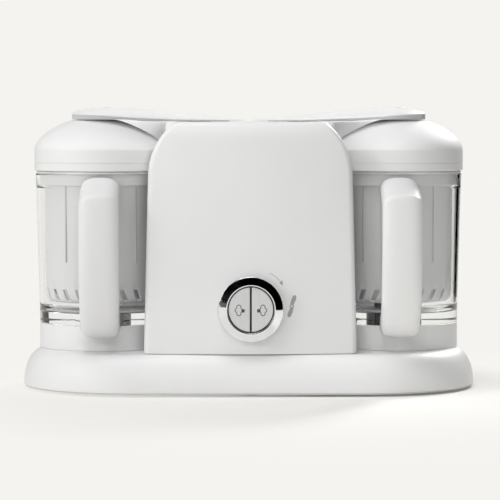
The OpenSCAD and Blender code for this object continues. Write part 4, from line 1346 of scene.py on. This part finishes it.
class FOODMAKER_OT_dial(bpy.types.Operator):
    """Build the chromed ring, the two half-round steam buttons and the printed marks"""

    bl_idname = "foodmaker.dial"
    bl_label = "Dial and Buttons"

    def execute(self, context):
        s = context.scene.food_maker_sizes
        radius, outer = mm(s.button_radius), mm(s.dial_radius)
        bore = radius + 0.85
        seat = DIAL_FACE - FRONT_Y
        ring = [(bore, -1.3, 0.15), (bore + 0.35, -0.1, 0.4), (bore + 1.2, 0.0, 0.5)]
        ring += [(outer - 2.1, -2.5, 0.8), (outer - 0.9, -2.75, 0.6), (outer, -4.4, 0.9)]
        ring += [(outer, seat + 0.4, 0.3), (outer - 1.5, seat + 0.4, 0)]
        ring += [(outer - 1.5, seat - 5.9, 0.3), (bore, seat - 5.9, 0.3)]
        lug = [(0, -21.4, 0), (1.5, -21.4, 0.4), (1.5, -16.8, 0), (0, -16.8, 0)]
        shape = Shape()
        shape.lathe(rounded(ring, steps=6), facing(0, DIAL_Z, DIAL_FACE), count=144)
        lug_place = facing(0, DIAL_Z + 23.475, DIAL_FACE)
        shape.lathe(rounded(lug, closed=False), lug_place, loop=False, count=24)
        piece = shape.piece("chrome_ring", [finish("chrome")], smooth=40)
        dress(piece, "dial", ["dial_ring"])

        start = math.asin(0.5 * mm(s.slit) / radius)
        turn = [-0.5 * math.pi + start + (math.pi - 2 * start) * k / 40 for k in range(41)]
        outline = [polar(0, 0, radius, a) for a in turn]
        stem = [(0, -18, 0), (3, -18, 0), (3, -25.4, 0.5), (0, -25.4, 0)]
        for name, side in SIDES:
            shape = Shape()
            shape.prism(outline, facing(0, DIAL_Z, BUTTON_FACE), -18.5, 0, 0, 0.9)
            stem_place = facing(9, DIAL_Z, BUTTON_FACE)
            shape.lathe(rounded(stem, closed=False), stem_place, loop=False, count=24)
            piece = shape.piece(name + "_steam_cap", [finish("satin")], side, smooth=30)
            dress(piece, name + "_button", [name + "_steam_button"])
            self.steam_mark(name, side)
        self.blade_mark(mm(s.front_radius))
        return {"FINISHED"}

    def steam_mark(self, name, side):
        """A puff of steam beside a small square."""
        shape = Shape()
        place = facing(0, DIAL_Z, BUTTON_FACE + 0.02)
        puff = arc_line(12.0, -0.5, 1.5, -50, 50) + arc_line(10.3, 2.3, 1.8, -20, 200)
        puff += arc_line(8.7, -0.5, 1.5, 130, 230) + arc_line(10.3, -3.3, 1.8, 160, 380)
        stroke(shape, puff, 0.7, place, closed=True)
        square = [(5.3, -2.3, 0.3), (8.1, -2.3, 0.3), (8.1, 0.5, 0.3), (5.3, 0.5, 0.3)]
        patch(shape, rounded(square), place)
        piece = shape.piece(name + "_steam_mark", [finish("dark_ink")], side)
        dress(piece, name + "_button", [], even=False)

    def blade_mark(self, curve):
        """A two-bladed knife and a thin curved arrow that leads to it, on the curved front."""

        def place(x, y, level):
            return (x, curve + FRONT_Y - math.sqrt(curve**2 - x**2) - level, DIAL_Z + y)

        shape = Shape()
        hub_x, hub_y = 35.4, 2.1
        knife = [(-1.3, 1.9, 0.3), (1.4, 1.5, 0.3), (3.4, 5.2, 2.0)]
        knife += [(4.0, 9.4, 1.5), (1.2, 9.5, 1.5), (-0.6, 5.2, 2.0)]
        for sign in (1, -1):
            line = [(hub_x + sign * x, hub_y + sign * y, r) for x, y, r in knife]
            patch(shape, rounded(line), place)
        stroke(shape, arc_line(hub_x, hub_y, 1.35, 0, 345, 20), 1.1, place, closed=True)
        reach = 34.8
        stroke(shape, arc_line(0, 0, reach, 61.8, 41, 16), 0.45, place)
        head = [(-1.7, 42), (1.7, 42), (-0.6, 35.6)]
        patch(shape, [polar(0, 0, reach + out, math.radians(a)) for out, a in head], place)
        piece = shape.piece("blade_mark", [finish("ink")])
        dress(piece, "housing", [], even=False)


# --------------------------------------------------------------- fastenings


class FOODMAKER_OT_fastenings(bpy.types.Operator):
    """Build the screws and rubber feet under the base"""

    bl_idname = "foodmaker.fastenings"
    bl_label = "Screws and Feet"

    def execute(self, context):
        outer = [(x, y, SCREW_HEAD_Z) for x in (-156, 156) for y in (-48, 48)]
        inner = [(x, y, SCREW_HEAD_Z) for x in (-66, 66) for y in (-74, 74)]
        piece = screws("cross_head_screws", outer + inner)
        dress(piece, "housing", ["base_screws"], even=False)
        ends = [(x, y, 0.0) for x in (-144.2, 144.2) for y in (-62, 62)]
        piece = feet("rubber_foot_pads", ends + [(0, -75.95, 0.0), (0, 75.95, 0.0)])
        dress(piece, "housing", ["rubber_feet"], even=False)
        return {"FINISHED"}


# ------------------------------------------------------------------ workings


class FOODMAKER_OT_workings(bpy.types.Operator):
    """Give the frame's own inner pieces their finishes"""

    bl_idname = "foodmaker.workings"
    bl_label = "Inner Workings"

    def execute(self, context):
        looks = {
            "dark": ["dial_seat", "microswitches", "cord_gland", "motor_mount"],
            "plate": ["base_plate"],
            "boiler": ["left_boiler", "right_boiler"],
            "cast": ["left_heater", "right_heater", "spindle_housing", "motor_can"],
            "zinc": ["thermostats", "dial_spring", "left_button_spring", "right_button_spring"],
            "red": ["neck_gaskets"],
            "pale": ["left_steam_hose", "right_steam_hose"],
            "steel": ["blade_unit", "drive_spindle"],
            "grey": ["blade_coupling", "drive_pulley", "motor_pulley"],
            "rubber": ["drive_belt"],
            "copper": ["motor_rotor"],
            "board": ["control_board"],
        }
        for look, nodes in looks.items():
            for node in nodes:
                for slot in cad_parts[node].material_slots:
                    slot.material = finish(look)
        return {"FINISHED"}


# --------------------------------------------------------------------- stage


def floor_material(colour, share):
    """Pale floor that takes the shadow near the machine and fades into the backdrop."""
    made, g = material("pale_floor")
    spot = g.place(shift=(-0.16, 0.1, 0))
    distance = g.add("ShaderNodeVectorMath", {0: spot}, "Value", operation="LENGTH")
    fade = 0.1 + 0.9 * g.spread(distance, 0.1, 0.44)
    cloud = g.spread(g.noise(3, 3), 0.3, 0.7)
    tint = g.mix(cloud, rgba(colour, 0.995 * share), rgba(colour, share))
    matt = g.add("ShaderNodeBsdfDiffuse", {"Color": tint})
    glow = g.add("ShaderNodeEmission", {"Color": rgba(colour), "Strength": 1.0})
    mixed = g.add("ShaderNodeMixShader", {0: fade, 1: matt, 2: glow})
    g.add("ShaderNodeOutputMaterial", {"Surface": mixed})
    return made


def black_paint():
    """Paint of the cards, which gives no light."""
    made, g = material("black_card_paint")
    dark = g.add("ShaderNodeEmission", {"Color": rgba(grey(0.0)), "Strength": 1.0})
    g.add("ShaderNodeOutputMaterial", {"Surface": dark})
    return made


def sheet(name, corners, look):
    """A flat four-cornered piece of the stage."""
    mesh = bpy.data.meshes.new(name)
    mesh.from_pydata(corners, [], [(0, 1, 2, 3)])
    mesh.materials.append(look)
    piece = linked(name, mesh)
    return piece


def facing_aim(place, aim):
    """The turn that points a lamp or a card from its place to its aim."""
    return (Vector(aim) - Vector(place)).to_track_quat("-Z", "Y")


def rectangle(half_x, half_y):
    """Corners of a flat rectangle around the middle."""
    return [(-half_x, -half_y, 0), (half_x, -half_y, 0), (half_x, half_y, 0), (-half_x, half_y, 0)]


def card(name, look, place, size, aim, flag=False):
    """A black card that only reflections and glass show. A flag shades the object, not the glass."""
    turn = facing_aim(place, aim).to_matrix()
    corners = [Vector(place) + turn @ Vector(c) for c in rectangle(size[0] / 2, size[1] / 2)]
    piece = sheet(name, corners, look)
    piece.visible_camera = False
    piece.visible_shadow = False
    piece.visible_diffuse = flag
    piece.visible_transmission = not flag


def lamp(name, kind, place, aim, power, **settings):
    """A lamp at its place, turned to its aim."""
    light = bpy.data.lights.new(name, kind)
    light.energy = power
    for key, value in settings.items():
        setattr(light, key, value)
    piece = linked(name, light)
    piece.location = place
    piece.rotation_euler = facing_aim(place, aim).to_euler()
    return piece


def softbox(name, place, aim, size, power):
    """A rectangular soft light."""
    lamp(name, "AREA", place, aim, power, shape="RECTANGLE", size=size[0], size_y=size[1])


class FOODMAKER_OT_stage(bpy.types.Operator):
    """Set the pale floor, the soft lights, the cards and the camera"""

    bl_idname = "foodmaker.stage"
    bl_label = "Stage"

    def execute(self, context):
        scene = context.scene
        stage = scene.food_maker_stage
        backdrop = scene.food_maker_colours.backdrop
        scene.view_settings.view_transform = "Standard"

        world = bpy.data.worlds.new("studio")
        world.use_nodes = True
        scene.world = world
        g = Graph(world.node_tree)
        seen = g.spread(g.seen_by("Is Camera Ray") + g.seen_by("Is Transmission Ray"), 0, 1)
        even = g.add("ShaderNodeBackground", {"Color": rgba(grey(1)), "Strength": stage.world_level})
        plain = g.add("ShaderNodeBackground", {"Color": rgba(backdrop), "Strength": 1.0})
        mixed = g.add("ShaderNodeMixShader", {0: seen, 1: even, 2: plain})
        g.add("ShaderNodeOutputWorld", {"Surface": mixed})
        sheet("floor", rectangle(6, 6), floor_material(backdrop, stage.floor_share))

        softbox("left_softbox", (-2.4, -1.4, 1.3), (0, 0, 0.12), (1.6, 1.6), stage.left_power)
        softbox("top_softbox", (-0.3, -0.4, 2.2), (0, 0, 0.15), (1.2, 1.0), stage.top_power)
        softbox("front_softbox", (-0.3, -2.9, 1.7), (0, 0, 0.15), (2.2, 1.2), stage.front_power)
        softbox("back_light", (1.25, 1.8, 1.55), (0, 0, 0.1), (0.6, 0.6), stage.back_power)
        cone = {"spot_size": math.radians(4.6), "spot_blend": 1.0, "shadow_soft_size": 0.25}
        place, aim = (0.1, -2.6, 0.5), (0.155, -0.03, 0.15)
        spot = lamp("right_bowl_spot", "SPOT", place, aim, stage.spot_power, **cone)
        spot.visible_glossy = False
        black = black_paint()
        card("dark_card_front", black, (0, -1.1, 0.95), (3.2, 1.6), (0, 0, 0.3))
        card("dark_card_right", black, (0.66, -0.35, 0.4), (1.3, 0.8), (0, 0, 0.3), flag=True)
        card("dark_card_side", black, (0.8, 0.55, 0.3), (0.9, 0.8), (0.19, 0, 0.13))

        lens = bpy.data.cameras.new("front_camera")
        lens.lens = stage.focal
        lens.sensor_width = 36
        lens.clip_end = 50
        camera = linked("front_camera", lens)
        camera.location = (-stage.camera_side, -stage.camera_distance, stage.camera_height)
        camera.rotation_euler = (0.5 * math.pi - stage.pitch, 0, -stage.yaw)
        scene.camera = camera
        return {"FINISHED"}


# --------------------------------------------------------------------- panel


BUILDERS = (
    FOODMAKER_OT_base,
    FOODMAKER_OT_column,
    FOODMAKER_OT_towers,
    FOODMAKER_OT_bowls,
    FOODMAKER_OT_baskets,
    FOODMAKER_OT_handles,
    FOODMAKER_OT_lids,
    FOODMAKER_OT_arms,
    FOODMAKER_OT_dial,
    FOODMAKER_OT_fastenings,
    FOODMAKER_OT_workings,
    FOODMAKER_OT_stage,
)


class FOODMAKER_PT_panel(bpy.types.Panel):
    """Shows a button for each builder and the sizes, colours and stage settings"""

    bl_idname = "FOODMAKER_PT_panel"
    bl_label = "Food Maker"
    bl_space_type = "VIEW_3D"
    bl_region_type = "UI"
    bl_category = "Food Maker"

    def draw(self, context):
        for builder in BUILDERS:
            self.layout.operator(builder.bl_idname)
        for name in GROUPS:
            group = getattr(context.scene, name)
            box = self.layout.box()
            for key in group.__annotations__:
                box.prop(group, key)


GROUPS = {
    "food_maker_sizes": FoodMakerSizes,
    "food_maker_colours": FoodMakerColours,
    "food_maker_stage": FoodMakerStage,
}
CLASSES = (*GROUPS.values(), *BUILDERS, FOODMAKER_PT_panel)


def register():
    """Registers the classes and gives the scene its properties."""
    for cls in CLASSES:
        bpy.utils.register_class(cls)
    for name, group in GROUPS.items():
        setattr(bpy.types.Scene, name, PointerProperty(type=group))


def unregister():
    """Takes back what register did."""
    for name in GROUPS:
        delattr(bpy.types.Scene, name)
    for cls in reversed(CLASSES):
        bpy.utils.unregister_class(cls)


def main():
    """Registers the add-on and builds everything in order."""
    register()
    for builder in BUILDERS:
        group, action = builder.bl_idname.split(".")
        getattr(getattr(bpy.ops, group), action)()


if __name__ == "__main__":
    main()
